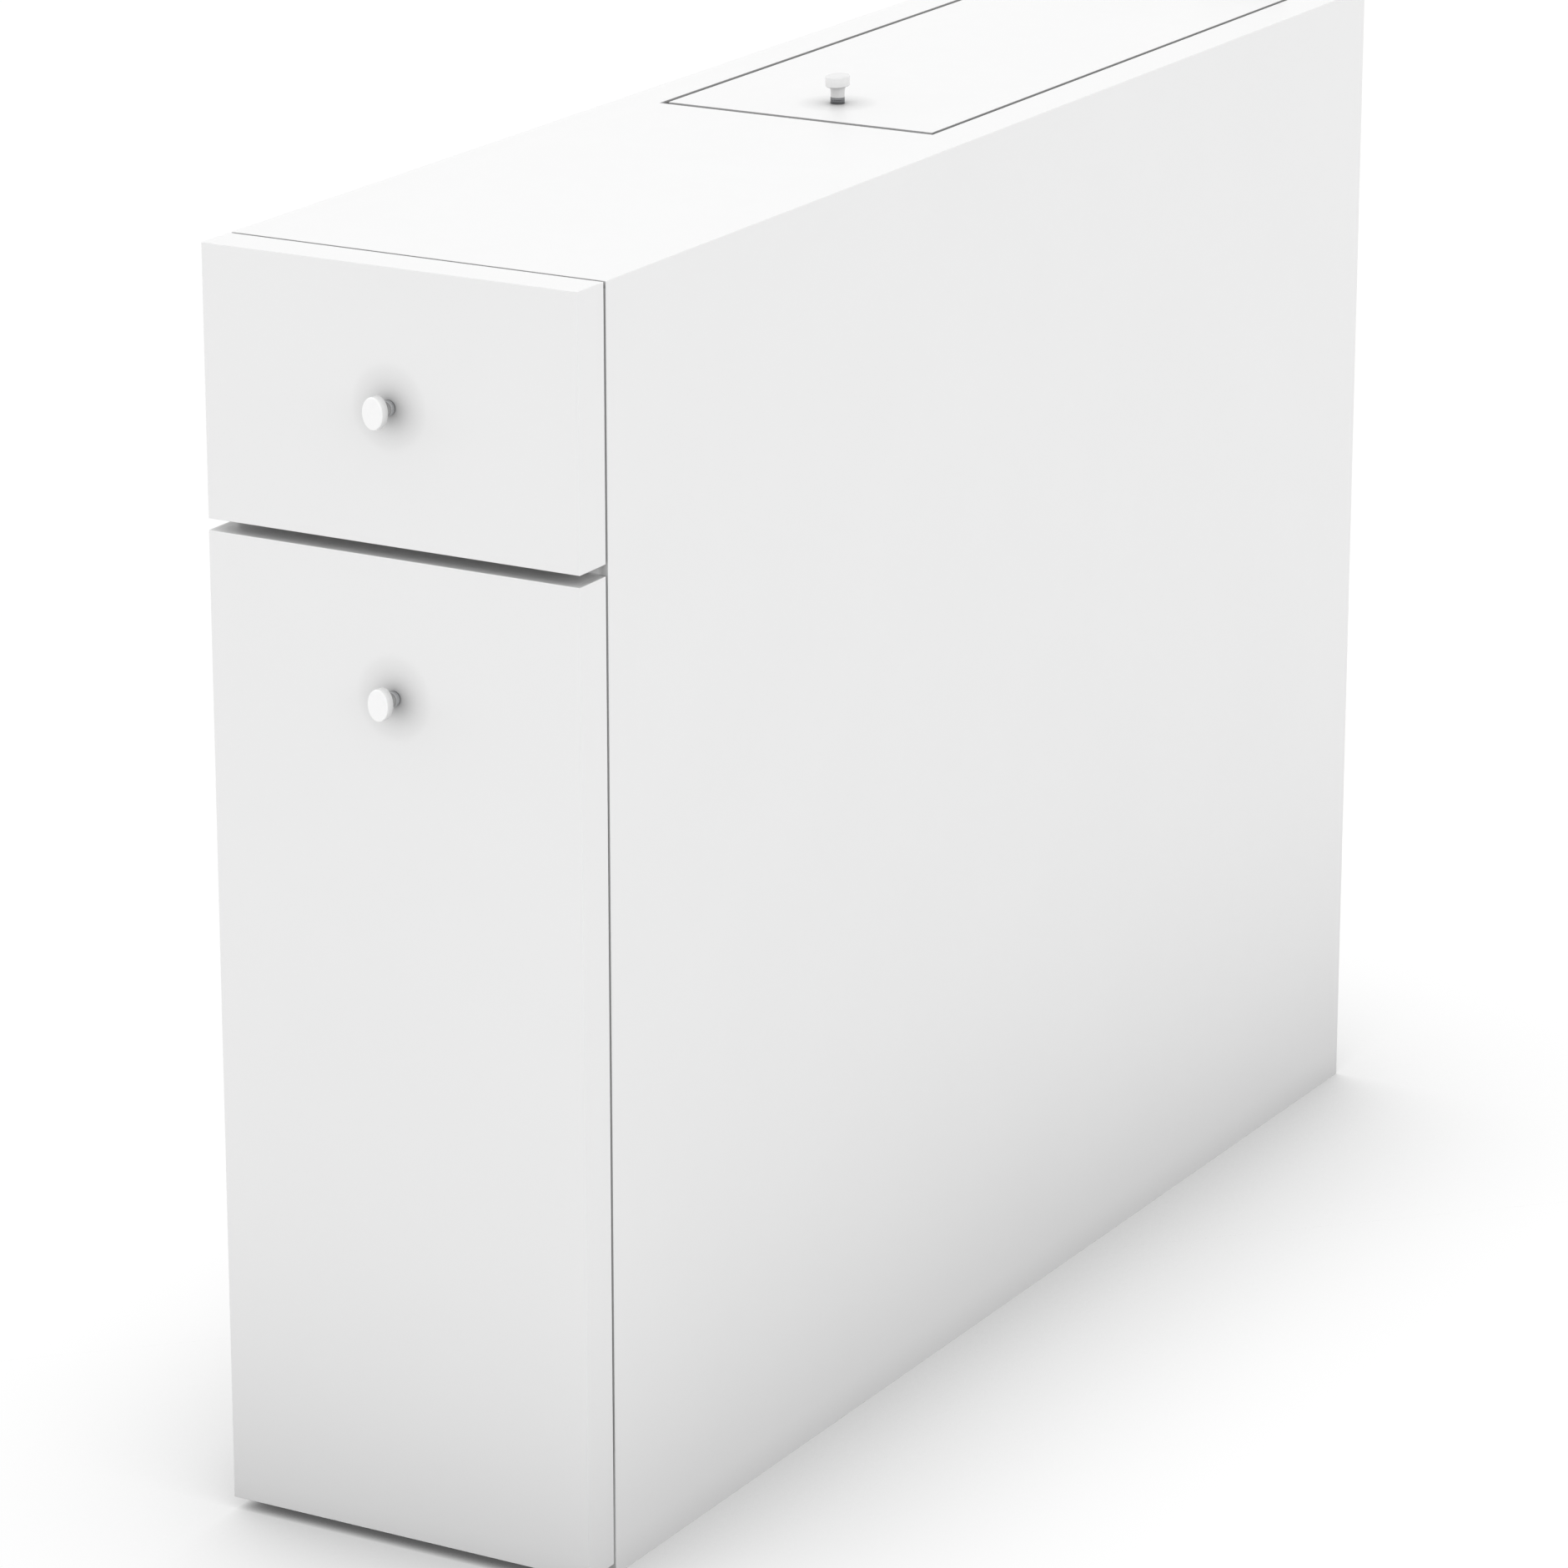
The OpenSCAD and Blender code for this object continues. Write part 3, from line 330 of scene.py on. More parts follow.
# Raw chipboard: pressed wood chips of 0.5 to 4 mm in resin. It gives a speckled tan that is
# rough and slightly open wherever a board is cut, drilled or left without a band.
def chipboard():
    made, tree, shader, place = start_material("raw_chipboard", IOR=1.45, Roughness=0.85)
    chips = add(tree, "ShaderNodeTexVoronoi", {"Vector": place, "Scale": per_mm(1.8)})
    tone = add(tree, "ShaderNodeSeparateColor", {"Color": chips.outputs["Color"]}).outputs[0]
    dust = add(tree, "ShaderNodeTexNoise", {"Vector": place, "Scale": per_mm(0.7), "Detail": 3.0})
    mixed = add(tree, "ShaderNodeMath", {0: tone, 1: dust.outputs[0]}, operation="MULTIPLY")
    wide = add(tree, "ShaderNodeMapRange", {"Value": mixed.outputs[0], "From Max": 0.65})
    tones = {FACTOR: wide.outputs[0], COLOUR_A: linear("#8A6A45"), COLOUR_B: linear("#D6BA8E")}
    colour = add(tree, "ShaderNodeMix", tones, data_type="RGBA").outputs[COLOUR_OUT]
    tree.links.new(colour, shader.inputs["Base Color"])
    relief = {"Height": mixed.outputs[0], "Strength": 0.6, "Distance": 0.25 * MM}
    tree.links.new(add(tree, "ShaderNodeBump", relief).outputs[0], shader.inputs["Normal"])
    return made


# Lacquered hardboard face: rolled white primer on pressed fibre. It gives a plain white with
# an even sheen and a faint fibrous lay.
def hardboard_face():
    made, tree, shader, place = start_material("lacquered_hardboard", IOR=1.5, Roughness=0.38)
    fibre = add(tree, "ShaderNodeTexNoise", {"Vector": place, "Scale": per_mm(4), "Detail": 5.0})
    tones = {FACTOR: fibre.outputs[0], COLOUR_A: linear("#EAEAE7"), COLOUR_B: linear("#F0F0EE")}
    colour = add(tree, "ShaderNodeMix", tones, data_type="RGBA").outputs[COLOUR_OUT]
    tree.links.new(colour, shader.inputs["Base Color"])
    relief = {"Height": fibre.outputs[0], "Strength": 0.3, "Distance": 0.05 * MM}
    tree.links.new(add(tree, "ShaderNodeBump", relief).outputs[0], shader.inputs["Normal"])
    return made


# Bare hardboard: steam-exploded fibres pressed on a wire screen. It gives a warm brown with
# short darker fibres and the screen's fine woven dimples.
def hardboard_back():
    made, tree, shader, place = start_material("bare_hardboard", IOR=1.45, Roughness=0.72)
    lay = {"Vector": place, "Scale": per_mm(2.4), "Detail": 6.0, "Roughness": 0.65}
    fibre = add(tree, "ShaderNodeTexNoise", lay)
    tones = {FACTOR: fibre.outputs[0], COLOUR_A: linear("#6B4A2E"), COLOUR_B: linear("#A57F55")}
    colour = add(tree, "ShaderNodeMix", tones, data_type="RGBA").outputs[COLOUR_OUT]
    tree.links.new(colour, shader.inputs["Base Color"])
    # The screen's wires are 1 mm apart; they are drawn 2 mm apart so that a render can show them
    axes = add(tree, "ShaderNodeSeparateXYZ", {"Vector": place}).outputs
    wires = []
    for axis in "XZ":
        turns = {0: axes[axis], 1: 2 * pi * per_mm(2.0)}
        angle = add(tree, "ShaderNodeMath", turns, operation="MULTIPLY").outputs[0]
        wires.append(add(tree, "ShaderNodeMath", {0: angle}, operation="SINE").outputs[0])
    screen = add(tree, "ShaderNodeMath", {0: wires[0], 1: wires[1]}, operation="MULTIPLY")
    both = {0: screen.outputs[0], 1: fibre.outputs[0]}
    height = add(tree, "ShaderNodeMath", both, operation="ADD")
    relief = {"Height": height.outputs[0], "Strength": 0.5, "Distance": 0.12 * MM}
    tree.links.new(add(tree, "ShaderNodeBump", relief).outputs[0], shader.inputs["Normal"])
    return made


# Metals: a tone, a sheen that varies over a grain of that many millimetres, a relief of that
# depth, and a stretch along which drawing, turning or tumbling has smeared the grain.
def metal(name, light, dark, roughness, grain, depth, stretch=(1, 1, 1), shade=0.0):
    made, tree, shader, place = start_material(name, Metallic=1.0)
    turned = add(tree, "ShaderNodeMapping", {"Vector": place, "Scale": stretch})
    smear = {
        "Vector": turned.outputs[0],
        "Scale": per_mm(grain),
        "Detail": 4.0,
        "Roughness": 0.6,
    }
    noise = add(tree, "ShaderNodeTexNoise", smear)
    tones = {FACTOR: noise.outputs[0], COLOUR_A: linear(dark), COLOUR_B: linear(light)}
    colour = add(tree, "ShaderNodeMix", tones, data_type="RGBA").outputs[COLOUR_OUT]
    # Painted shade: the colour darkens where other surfaces stand close, in a collar's grooves and
    # at its foot
    if shade:
        painted_shade = {
            FACTOR: beside_neighbours(tree, COLLAR_REACH, shade),
            COLOUR_A: colour,
            COLOUR_B: linear(SHADE_COLOUR),
        }
        colour = add(tree, "ShaderNodeMix", painted_shade, data_type="RGBA").outputs[COLOUR_OUT]
    tree.links.new(colour, shader.inputs["Base Color"])
    spread = {
        "Value": noise.outputs[0],
        "From Min": NOISE_LOW,
        "From Max": NOISE_HIGH,
        "To Min": roughness * METAL_SMOOTHEST,
        "To Max": roughness * METAL_ROUGHEST,
    }
    rough = add(tree, "ShaderNodeMapRange", spread)
    tree.links.new(rough.outputs[0], shader.inputs["Roughness"])
    relief = {"Height": noise.outputs[0], "Strength": 0.3, "Distance": depth}
    tree.links.new(add(tree, "ShaderNodeBump", relief).outputs[0], shader.inputs["Normal"])
    return made


# Epoxy powder coat on steel sheet: baked on as powder. It gives a clean white gloss over a
# gentle orange peel.
def powder_coat():
    made, tree, shader, place = start_material("epoxy_powder_coat", IOR=1.55, Roughness=0.28)
    peel = add(tree, "ShaderNodeTexNoise", {"Vector": place, "Scale": per_mm(1.4), "Detail": 1.0})
    tones = {FACTOR: peel.outputs[0], COLOUR_A: linear("#E6E6E2"), COLOUR_B: linear("#ECECE8")}
    colour = add(tree, "ShaderNodeMix", tones, data_type="RGBA").outputs[COLOUR_OUT]
    tree.links.new(colour, shader.inputs["Base Color"])
    relief = {"Height": peel.outputs[0], "Strength": 0.4, "Distance": 0.06 * MM}
    tree.links.new(add(tree, "ShaderNodeBump", relief).outputs[0], shader.inputs["Normal"])
    return made


# Moulded nylon: natural polyamide, slightly waxy. It gives a warm off-white that lets a
# little light in.
def moulded_nylon():
    made, tree, shader, place = start_material(
        "moulded_nylon",
        IOR=1.53,
        Subsurface_Weight=0.25,
        Subsurface_Radius=(1.0, 0.9, 0.7),
        Subsurface_Scale=1.2 * MM,
    )
    flow = add(tree, "ShaderNodeTexNoise", {"Vector": place, "Scale": per_mm(3), "Detail": 3.0})
    tones = {FACTOR: flow.outputs[0], COLOUR_A: linear("#DEDACB"), COLOUR_B: linear("#E9E6DB")}
    colour = add(tree, "ShaderNodeMix", tones, data_type="RGBA").outputs[COLOUR_OUT]
    tree.links.new(colour, shader.inputs["Base Color"])
    spread = {"Value": flow.outputs[0], "To Min": 0.38, "To Max": 0.55}
    rough = add(tree, "ShaderNodeMapRange", spread)
    tree.links.new(rough.outputs[0], shader.inputs["Roughness"])
    relief = {"Height": flow.outputs[0], "Strength": 0.2, "Distance": 0.05 * MM}
    tree.links.new(add(tree, "ShaderNodeBump", relief).outputs[0], shader.inputs["Normal"])
    return made


# Beech dowel: turned and fluted hardwood. It gives a pinkish tan with short dark flecks
# along the grain.
def beech():
    made, tree, shader, place = start_material("turned_beech", IOR=1.45, Roughness=0.6)
    along = add(tree, "ShaderNodeMapping", {"Vector": place, "Scale": (0.12, 1, 1)})
    flecks = {"Vector": along.outputs[0], "Scale": per_mm(0.8), "Detail": 4.0}
    grain = add(tree, "ShaderNodeTexNoise", flecks)
    tones = {FACTOR: grain.outputs[0], COLOUR_A: linear("#B98F63"), COLOUR_B: linear("#DDBE95")}
    colour = add(tree, "ShaderNodeMix", tones, data_type="RGBA").outputs[COLOUR_OUT]
    tree.links.new(colour, shader.inputs["Base Color"])
    relief = {"Height": grain.outputs[0], "Strength": 0.5, "Distance": 0.1 * MM}
    tree.links.new(add(tree, "ShaderNodeBump", relief).outputs[0], shader.inputs["Normal"])
    return made


# Gloss lacquer over cast zinc: sprayed and baked. It gives a brighter white than the boards,
# with a clear sheen and a trace of orange peel.
def lacquer(name, light, dark, shade):
    made, tree, shader, place = start_material(name, IOR=1.5, Roughness=0.27)
    peel = add(tree, "ShaderNodeTexNoise", {"Vector": place, "Scale": per_mm(1.6), "Detail": 1.0})
    tones = {FACTOR: peel.outputs[0], COLOUR_A: linear(dark), COLOUR_B: linear(light)}
    colour = add(tree, "ShaderNodeMix", tones, data_type="RGBA").outputs[COLOUR_OUT]
    # Painted shade: the colour darkens on the rim and neck, where the face that the knob stands on
    # is close
    painted_shade = {
        FACTOR: beside_neighbours(tree, KNOB_REACH, shade),
        COLOUR_A: colour,
        COLOUR_B: linear(SHADE_COLOUR),
    }
    colour = add(tree, "ShaderNodeMix", painted_shade, data_type="RGBA").outputs[COLOUR_OUT]
    tree.links.new(colour, shader.inputs["Base Color"])
    relief = {"Height": peel.outputs[0], "Strength": 0.2, "Distance": 0.03 * MM}
    tree.links.new(add(tree, "ShaderNodeBump", relief).outputs[0], shader.inputs["Normal"])
    return made


# Polyurethane buffer: clear self-adhesive dot. It gives a milky, soft-looking disc.
def clear_buffer():
    made, tree, shader, place = start_material(
        "polyurethane_buffer", IOR=1.5, Transmission_Weight=0.55
    )
    haze = add(tree, "ShaderNodeTexNoise", {"Vector": place, "Scale": per_mm(2), "Detail": 2.0})
    tones = {FACTOR: haze.outputs[0], COLOUR_A: linear("#DADADA"), COLOUR_B: linear("#F2F2F2")}
    colour = add(tree, "ShaderNodeMix", tones, data_type="RGBA").outputs[COLOUR_OUT]
    tree.links.new(colour, shader.inputs["Base Color"])
    spread = {"Value": haze.outputs[0], "To Min": 0.25, "To Max": 0.4}
    rough = add(tree, "ShaderNodeMapRange", spread)
    tree.links.new(rough.outputs[0], shader.inputs["Roughness"])
    return made


FINISHES = {
    # The outer boards carry painted shade in their joints, and the boxes' boards are plainer and a
    # little duller
    "board_face": melamine("melamine_board", "#F1F1F1", "#EFEFEF", 0.42, joints=True),
    "box_face": melamine("melamine_box_board", "#EFEFEE", "#ECECEB", 0.5),
    "edge_band": edge_band(),
    "chipboard": chipboard(),
    "hardboard_face": hardboard_face(),
    "hardboard_back": hardboard_back(),
    # Zinc-plated steel: cold-formed, then tumbled in the plating barrel. It gives the screws,
    # nails and bolts a cool pale grey with a soft, uneven shine.
    "zinc_plate": metal(
        "zinc_plated_steel", "#CDD0D4", "#B6B9BE", 0.3, grain=2.0, depth=0.02 * MM
    ),
    # Cast zinc: pressure die-cast and left bare. It gives the cam locks a darker, duller grey.
    "cast_zinc": metal("cast_zinc", "#BEBFBF", "#8F9192", 0.42, grain=0.9, depth=0.06 * MM),
    # Nickel-plated steel: rolled sheet, pressed and plated. It gives the hinges a warm, clear
    # shine with faint lines along the rolling.
    "nickel_plate": metal(
        "nickel_plated_steel",
        "#C4C1BB",
        "#B4B1AB",
        0.2,
        grain=0.8,
        depth=0.01 * MM,
        stretch=(0.1, 1, 1),
    ),
    # Chromed steel: drawn rod, polished and plated. It gives the guard rods a mirror shine with
    # a trace of lines along the drawing.
    "chrome": metal(
        "chromed_steel_rod",
        "#DADCDF",
        "#CACDD1",
        0.07,
        grain=0.5,
        depth=0.005 * MM,
        stretch=(1, 0.03, 1),
    ),
    "powder_coat": powder_coat(),
    "nylon": moulded_nylon(),
    "beech": beech(),
    "gloss_lacquer": lacquer("gloss_lacquer", "#FDFDFD", "#FAFAFA", shade=1.3),
    # The lid knob's lacquer: a greyer copy of the gloss lacquer, painted shade for a knob that
    # faces up, with less painted shade under its disc
    "shaded_lacquer": lacquer("shaded_lacquer", "#E6E6E6", "#E2E2E2", shade=0.45),
    # Satin nickel: turned brass, brushed and plated. It gives the fronts' collars a light grey
    # with painted shade in the grooves and where a collar meets the front.
    "satin_nickel": metal(
        "satin_nickel",
        "#D2D3D5",
        "#B8B9BB",
        0.3,
        grain=0.4,
        depth=0.01 * MM,
        shade=COLLAR_SHADE,
    ),
    # Dark nickel: the same satin nickel, made darker as painted shade. It gives the lid's collar a
    # deep grey.
    "dark_nickel": metal(
        "dark_nickel", "#939496", "#77787A", 0.3, grain=0.4, depth=0.01 * MM, shade=COLLAR_SHADE
    ),
    "clear_buffer": clear_buffer(),
}


def finished(name, shape, finishes, node, also=()):
    """Turns the bmesh into a piece that stands for its CAD nodes and rides on their body"""
    mesh = bpy.data.meshes.new(name)
    for face in shape.faces:
        face.smooth = True
    shape.to_mesh(mesh)
    shape.free()
    mesh.set_sharp_from_angle(angle=SHARP_TURN)
    for finish in finishes:
        mesh.materials.append(FINISHES[finish])
    piece = bpy.data.objects.new(name, mesh)
    bpy.context.scene.collection.objects.link(piece)
    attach(piece, BODY_OF[node])
    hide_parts(node, *also)
    return piece


def keep_flat(piece):
    """Shades the piece's flat faces flat, right up to their eased edges"""
    flatten = piece.modifiers.new("flat_faces", "WEIGHTED_NORMAL")
    flatten.keep_sharp = True


def merged_copy(node):
    """A bmesh of the node with its loose triangles joined and its flat faces made whole"""
    shape = bmesh.new()
    shape.from_mesh(frame["nodes"][node].data)
    bmesh.ops.remove_doubles(shape, verts=shape.verts, dist=SAME_POINT)
    bmesh.ops.dissolve_limit(
        shape, angle_limit=SAME_PLANE, verts=shape.verts, edges=shape.edges, delimit={"NORMAL"}
    )
    return shape


def outer_side(face, low, high):
    """Axis of the outer side that the face lies on, with its sign, or None inside the node"""
    for axis in range(3):
        if abs(face.normal[axis]) > SQUARE_ON:
            limit = high[axis] if face.normal[axis] > 0 else low[axis]
            if abs(face.calc_center_median()[axis] - limit) < ON_SIDE:
                return axis, face.normal[axis] > 0
    return None


def ease_edges(shape, edges, radius):
    """Rounds those edges"""
    bmesh.ops.bevel(
        shape,
        geom=edges,
        offset=radius,
        offset_type="OFFSET",
        segments=EDGE_STEPS,
        profile=0.5,
        affect="EDGES",
        material=-1,
        clamp_overlap=True,
    )


# Places of a board's finishes in its list of materials
FACE, BAND, RAW, BACK = range(4)


def dress_board(node, face_finish, radius, raw_sides=(), back_finish=None, flush=()):
    """A board with its faces, edge bands and raw cuts told apart, and its banded edges eased,
    apart from those where it is planed flush with its neighbour"""
    shape = merged_copy(node)
    low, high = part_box(node)
    size = high - low
    thin = min(range(3), key=lambda axis: size[axis])
    sides = {}
    for face in shape.faces:
        side = outer_side(face, low, high)
        sides[face] = side
        if side is None:
            face.material_index = RAW
        elif side[0] == thin:
            face.material_index = BACK if (back_finish and side in raw_sides) else FACE
        else:
            face.material_index = RAW if side in raw_sides else BAND
    outer = [
        edge
        for edge in shape.edges
        if len(edge.link_faces) == 2
        and all(sides[face] is not None for face in edge.link_faces)
        and sides[edge.link_faces[0]] != sides[edge.link_faces[1]]
        and {sides[face] for face in edge.link_faces} not in flush
        and not any(sides[face] in raw_sides for face in edge.link_faces)
    ]
    ease_edges(shape, outer, radius)
    finishes = [face_finish, "edge_band", "chipboard", back_finish or face_finish]
    keep_flat(finished(f"{node}_finished", shape, finishes, node))


def dress_sheet_metal(node, finish):
    """Sheet metal with its long cut and bent edges eased"""
    shape = merged_copy(node)
    long_edges = [
        edge
        for edge in shape.edges
        if len(edge.link_faces) == 2
        and edge.is_convex
        and edge.calc_length() > SHEET_EDGE_MIN
        and edge.calc_face_angle() > SHEET_EDGE_TURN
    ]
    ease_edges(shape, long_edges, SHEET_EDGE)
    keep_flat(finished(f"{node}_finished", shape, [finish], node))


def spun(profile, steps):
    """Solid of revolution round +Z from (radius, height) points that start and end on the axis
    or, for a ring, at the same point"""
    shape = bmesh.new()
    points = [shape.verts.new((radius, 0, height)) for radius, height in profile]
    edges = [shape.edges.new(pair) for pair in zip(points, points[1:])]
    bmesh.ops.spin(
        shape,
        geom=points + edges,
        cent=(0, 0, 0),
        axis=(0, 0, 1),
        angle=2 * pi,
        steps=steps,
        use_merge=True,
        use_duplicate=False,
    )
    bmesh.ops.remove_doubles(shape, verts=shape.verts, dist=SAME_POINT)
    bmesh.ops.recalc_face_normals(shape, faces=shape.faces)
    return shape


def quarter(centre, radius, start, steps):
    """Points of a quarter circle, from the start angle in degrees"""
    angles = [radians(start + 90 * i / steps) for i in range(steps + 1)]
    return [(centre[0] + radius * cos(a), centre[1] + radius * sin(a)) for a in angles]


# Which way each knob points, as a turn about X from upright
KNOB_TURNS = {"drawer": radians(90), "pullout": radians(90), "lid": 0.0}

# Finishes of each knob and its collar; the lid's are greyer and duller copies, as painted shade
KNOB_FINISHES = {
    "drawer": ("gloss_lacquer", "satin_nickel"),
    "pullout": ("gloss_lacquer", "satin_nickel"),
    "lid": ("shaded_lacquer", "dark_nickel"),
}


def knob_place(owner):
    """Matrix from a knob's own upright frame, foot at the origin, to its place"""
    low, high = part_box(f"{owner}_knob_collar")
    foot = (low + high) / 2
    if owner == "lid":
        foot.z = low.z
    else:
        foot.y = high.y
    return Matrix.Translation(foot) @ Matrix.Rotation(KNOB_TURNS[owner], 4, "X")


def knob_profile(disc_d):
    """Half section of a knob above its collar: a neck that flares out, and a disc"""
    disc_z = COLLAR_H + NECK_H
    flare_z = COLLAR_H + NECK_FOOT_H
    rim_z = disc_z + DISC_H - KNOB_ROUND
    flare = (NECK_TOP_D - NECK_D) / 2
    angles = [radians(90 * i / NECK_STEPS) for i in range(NECK_STEPS + 1)]
    neck = [
        (NECK_D / 2 + flare * (1 - cos(a)), flare_z + (disc_z - flare_z) * sin(a)) for a in angles
    ]
    edge = quarter((disc_d / 2 - KNOB_ROUND, rim_z), KNOB_ROUND, 0, steps=8)
    return (
        [(0, COLLAR_H), (NECK_D / 2, COLLAR_H)]
        + neck
        + [(disc_d / 2 - KNOB_BEVEL, disc_z), (disc_d / 2, disc_z + KNOB_BEVEL)]
        + edge
        + [(0, rim_z + KNOB_ROUND)]
    )


def draw_out(knob, stretch):
    """Draws the round disc out to an oval, and leaves the neck round"""
    under = COLLAR_H + NECK_H + KNOB_BEVEL / 2
    disc = [
        vert
        for vert in knob.verts
        if vert.co.z > under or vert.co.xy.length > NECK_TOP_D / 2 + KNOB_BEVEL / 2
    ]
    bmesh.ops.scale(knob, verts=disc, vec=(1, stretch, 1))


def make_knob(owner):
    """An oval cast knob"""
    low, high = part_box(f"{owner}_knob")
    disc_w = high.x - low.x
    disc_l = max(high - low)
    knob = spun(knob_profile(disc_w), KNOB_STEPS)
    draw_out(knob, disc_l / disc_w)
    bmesh.ops.transform(knob, matrix=knob_place(owner), verts=knob.verts)
    finish = KNOB_FINISHES[owner][0]
    keep_flat(finished(f"{owner}_knob_cast", knob, [finish], f"{owner}_knob"))


def make_collar(owner):
    """A turned collar with fine grooves, at the foot of a knob"""
    low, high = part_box(f"{owner}_knob_collar")
    collar_r = (high.x - low.x) / 2
    side = [(collar_r, 0)]
    for height in COLLAR_GROOVES:
        side += [
            (collar_r, height - GROOVE_W / 2),
            (collar_r - GROOVE_DEPTH, height),
            (collar_r, height + GROOVE_W / 2),
        ]
    top = quarter((collar_r - COLLAR_BEVEL, COLLAR_H - COLLAR_BEVEL), COLLAR_BEVEL, 0, steps=4)
    collar = spun([(0, 0)] + side + top + [(0, COLLAR_H)], KNOB_STEPS)
    bmesh.ops.transform(collar, matrix=knob_place(owner), verts=collar.verts)
    finish = KNOB_FINISHES[owner][1]
    finished(f"{owner}_knob_collar_turned", collar, [finish], f"{owner}_knob_collar")


def roller_profile(outer):
    """Half section of a roller: its bore, its hub, two dished faces and a rounded tread"""
    bore = ROLLER_BORE / 2
    hub = ROLLER_HUB_D / 2
    rim = outer - ROLLER_ROUND - ROLLER_DISH
    tread = outer - ROLLER_ROUND
    near = [
        (bore, 0),
        (hub, 0),
        (hub + ROLLER_DISH, ROLLER_DISH),
        (rim - ROLLER_DISH, ROLLER_DISH),
        (rim, 0),
    ]
    far = [(radius, ROLLER_W - height) for radius, height in reversed(near)]
    return (
        near
        + quarter((tread, ROLLER_ROUND), ROLLER_ROUND, -90, steps=4)
        + quarter((tread, ROLLER_W - ROLLER_ROUND), ROLLER_ROUND, 0, steps=4)
        + far
        + near[:1]
    )


def make_rollers(node):
    """A pair of rollers, one at each end of the node's box"""
    low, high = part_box(node)
    centre = (low + high) / 2
    pair = bmesh.new()
    for end_x, turn in ((high.x, radians(-90)), (low.x, radians(90))):
        one = spun(roller_profile((high.z - low.z) / 2), ROLLER_STEPS)
        place = Matrix.Translation((end_x, centre.y, centre.z)) @ Matrix.Rotation(turn, 4, "Y")
        bmesh.ops.transform(one, matrix=place, verts=one.verts)
        mesh = bpy.data.meshes.new("one_roller")
        one.to_mesh(mesh)
        one.free()
        pair.from_mesh(mesh)
        bpy.data.meshes.remove(mesh)
    finished(f"{node}_turned", pair, ["nylon"], node)


def paint(node, finish):
    """Gives a CAD node that keeps its own mesh its finish"""
    materials = frame["nodes"][node].data.materials
    materials.clear()
    materials.append(FINISHES[finish])


# Axis and direction of a board's outer sides
LEFT, RIGHT = (0, False), (0, True)
FRONT, REAR = (1, False), (1, True)
BOTTOM, TOP = (2, False), (2, True)

# Top edges where two boards meet on one level
FLUSH_EDGES = {
    "left_side_panel": ({RIGHT, TOP},),
    "right_side_panel": ({LEFT, TOP},),
    "top_panel": ({LEFT, TOP}, {RIGHT, TOP}),
    "rear_rail": ({LEFT, TOP}, {RIGHT, TOP}),
}

# Carcass, fronts and lid, with the sides of each board that have no band
for board, raw in {
    "left_side_panel": (BOTTOM,),
    "right_side_panel": (BOTTOM,),
    "bottom_panel": (LEFT, RIGHT, REAR),
    "top_panel": (LEFT, RIGHT),
    "bay_shelf": (LEFT, RIGHT, REAR),
    "divider_panel": (LEFT, RIGHT, BOTTOM),
    "rear_rail": (LEFT, RIGHT, BOTTOM),
    "drawer_front": (),
    "pullout_front": (),
    "lid_panel": (),
}.items():
    dress_board(board, "board_face", BOARD_EDGE, raw, flush=FLUSH_EDGES.get(board, ()))

# Drawer and pull-out boxes, likewise
for board, raw in {
    "drawer_side_left": (FRONT, BOTTOM),
    "drawer_side_right": (FRONT, BOTTOM),
    "drawer_back": (LEFT, RIGHT, BOTTOM),
    "pullout_side_left": (FRONT, REAR, BOTTOM),
    "pullout_side_right": (FRONT, REAR, BOTTOM),
    "pullout_back": (BOTTOM,),
    "pullout_base": (LEFT, RIGHT, FRONT, REAR),
    "pullout_shelf": (FRONT, REAR),
}.items():
    dress_board(board, "box_face", BOX_EDGE, raw)

# Hardboard
for board, raw in {
    "back_panel": (REAR, LEFT, RIGHT),
    "drawer_bottom": (BOTTOM, LEFT, RIGHT),
}.items():
    dress_board(board, "hardboard_face", HARDBOARD_EDGE, raw, "hardboard_back")

# Runners and hinges
for side in ("left", "right"):
    for owner in ("drawer", "pullout"):
        dress_sheet_metal(f"{owner}_track_{side}", "powder_coat")
        dress_sheet_metal(f"{owner}_slide_{side}", "powder_coat")
dress_sheet_metal("rail_hinge_leaves", "nickel_plate")
dress_sheet_metal("lid_hinge_leaves", "nickel_plate")

# Knobs and rollers
for owner in KNOB_TURNS:
    make_knob(owner)
    make_collar(owner)
for owner in ("drawer", "pullout"):
    make_rollers(f"{owner}_track_rollers")
    make_rollers(f"{owner}_slide_rollers")

# Fasteners and small fittings, which keep their CAD meshes
for node in frame["nodes"]:
    if node.endswith("cam_locks"):
        paint(node, "cast_zinc")
    elif SLOT_OF[node] == "zinc_steel":
        paint(node, "zinc_plate")
paint("hinge_pins", "nickel_plate")
paint("carcass_dowels", "beech")
paint("lid_buffers", "clear_buffer")
paint("pullout_guard_rods", "chrome")


def make_camera():
    """Camera at the photograph's angle, with no shift"""
    data = bpy.data.cameras.new("camera")
    data.sensor_width = CAMERA_SENSOR
    data.lens = CAMERA_LENS
    data.clip_start = CAMERA_NEAR
    data.clip_end = CAMERA_FAR
    camera = bpy.data.objects.new("camera", data)
    bpy.context.scene.collection.objects.link(camera)
    back = Vector(
        (
            sin(CAMERA_AZIMUTH) * cos(CAMERA_ELEVATION),
            -cos(CAMERA_AZIMUTH) * cos(CAMERA_ELEVATION),
            sin(CAMERA_ELEVATION),
        )
    )
    camera.location = CAMERA_TARGET + back * CAMERA_DISTANCE
    camera.rotation_mode = "QUATERNION"
    camera.rotation_quaternion = (-back).to_track_quat("-Z", "Y")
    bpy.context.scene.camera = camera


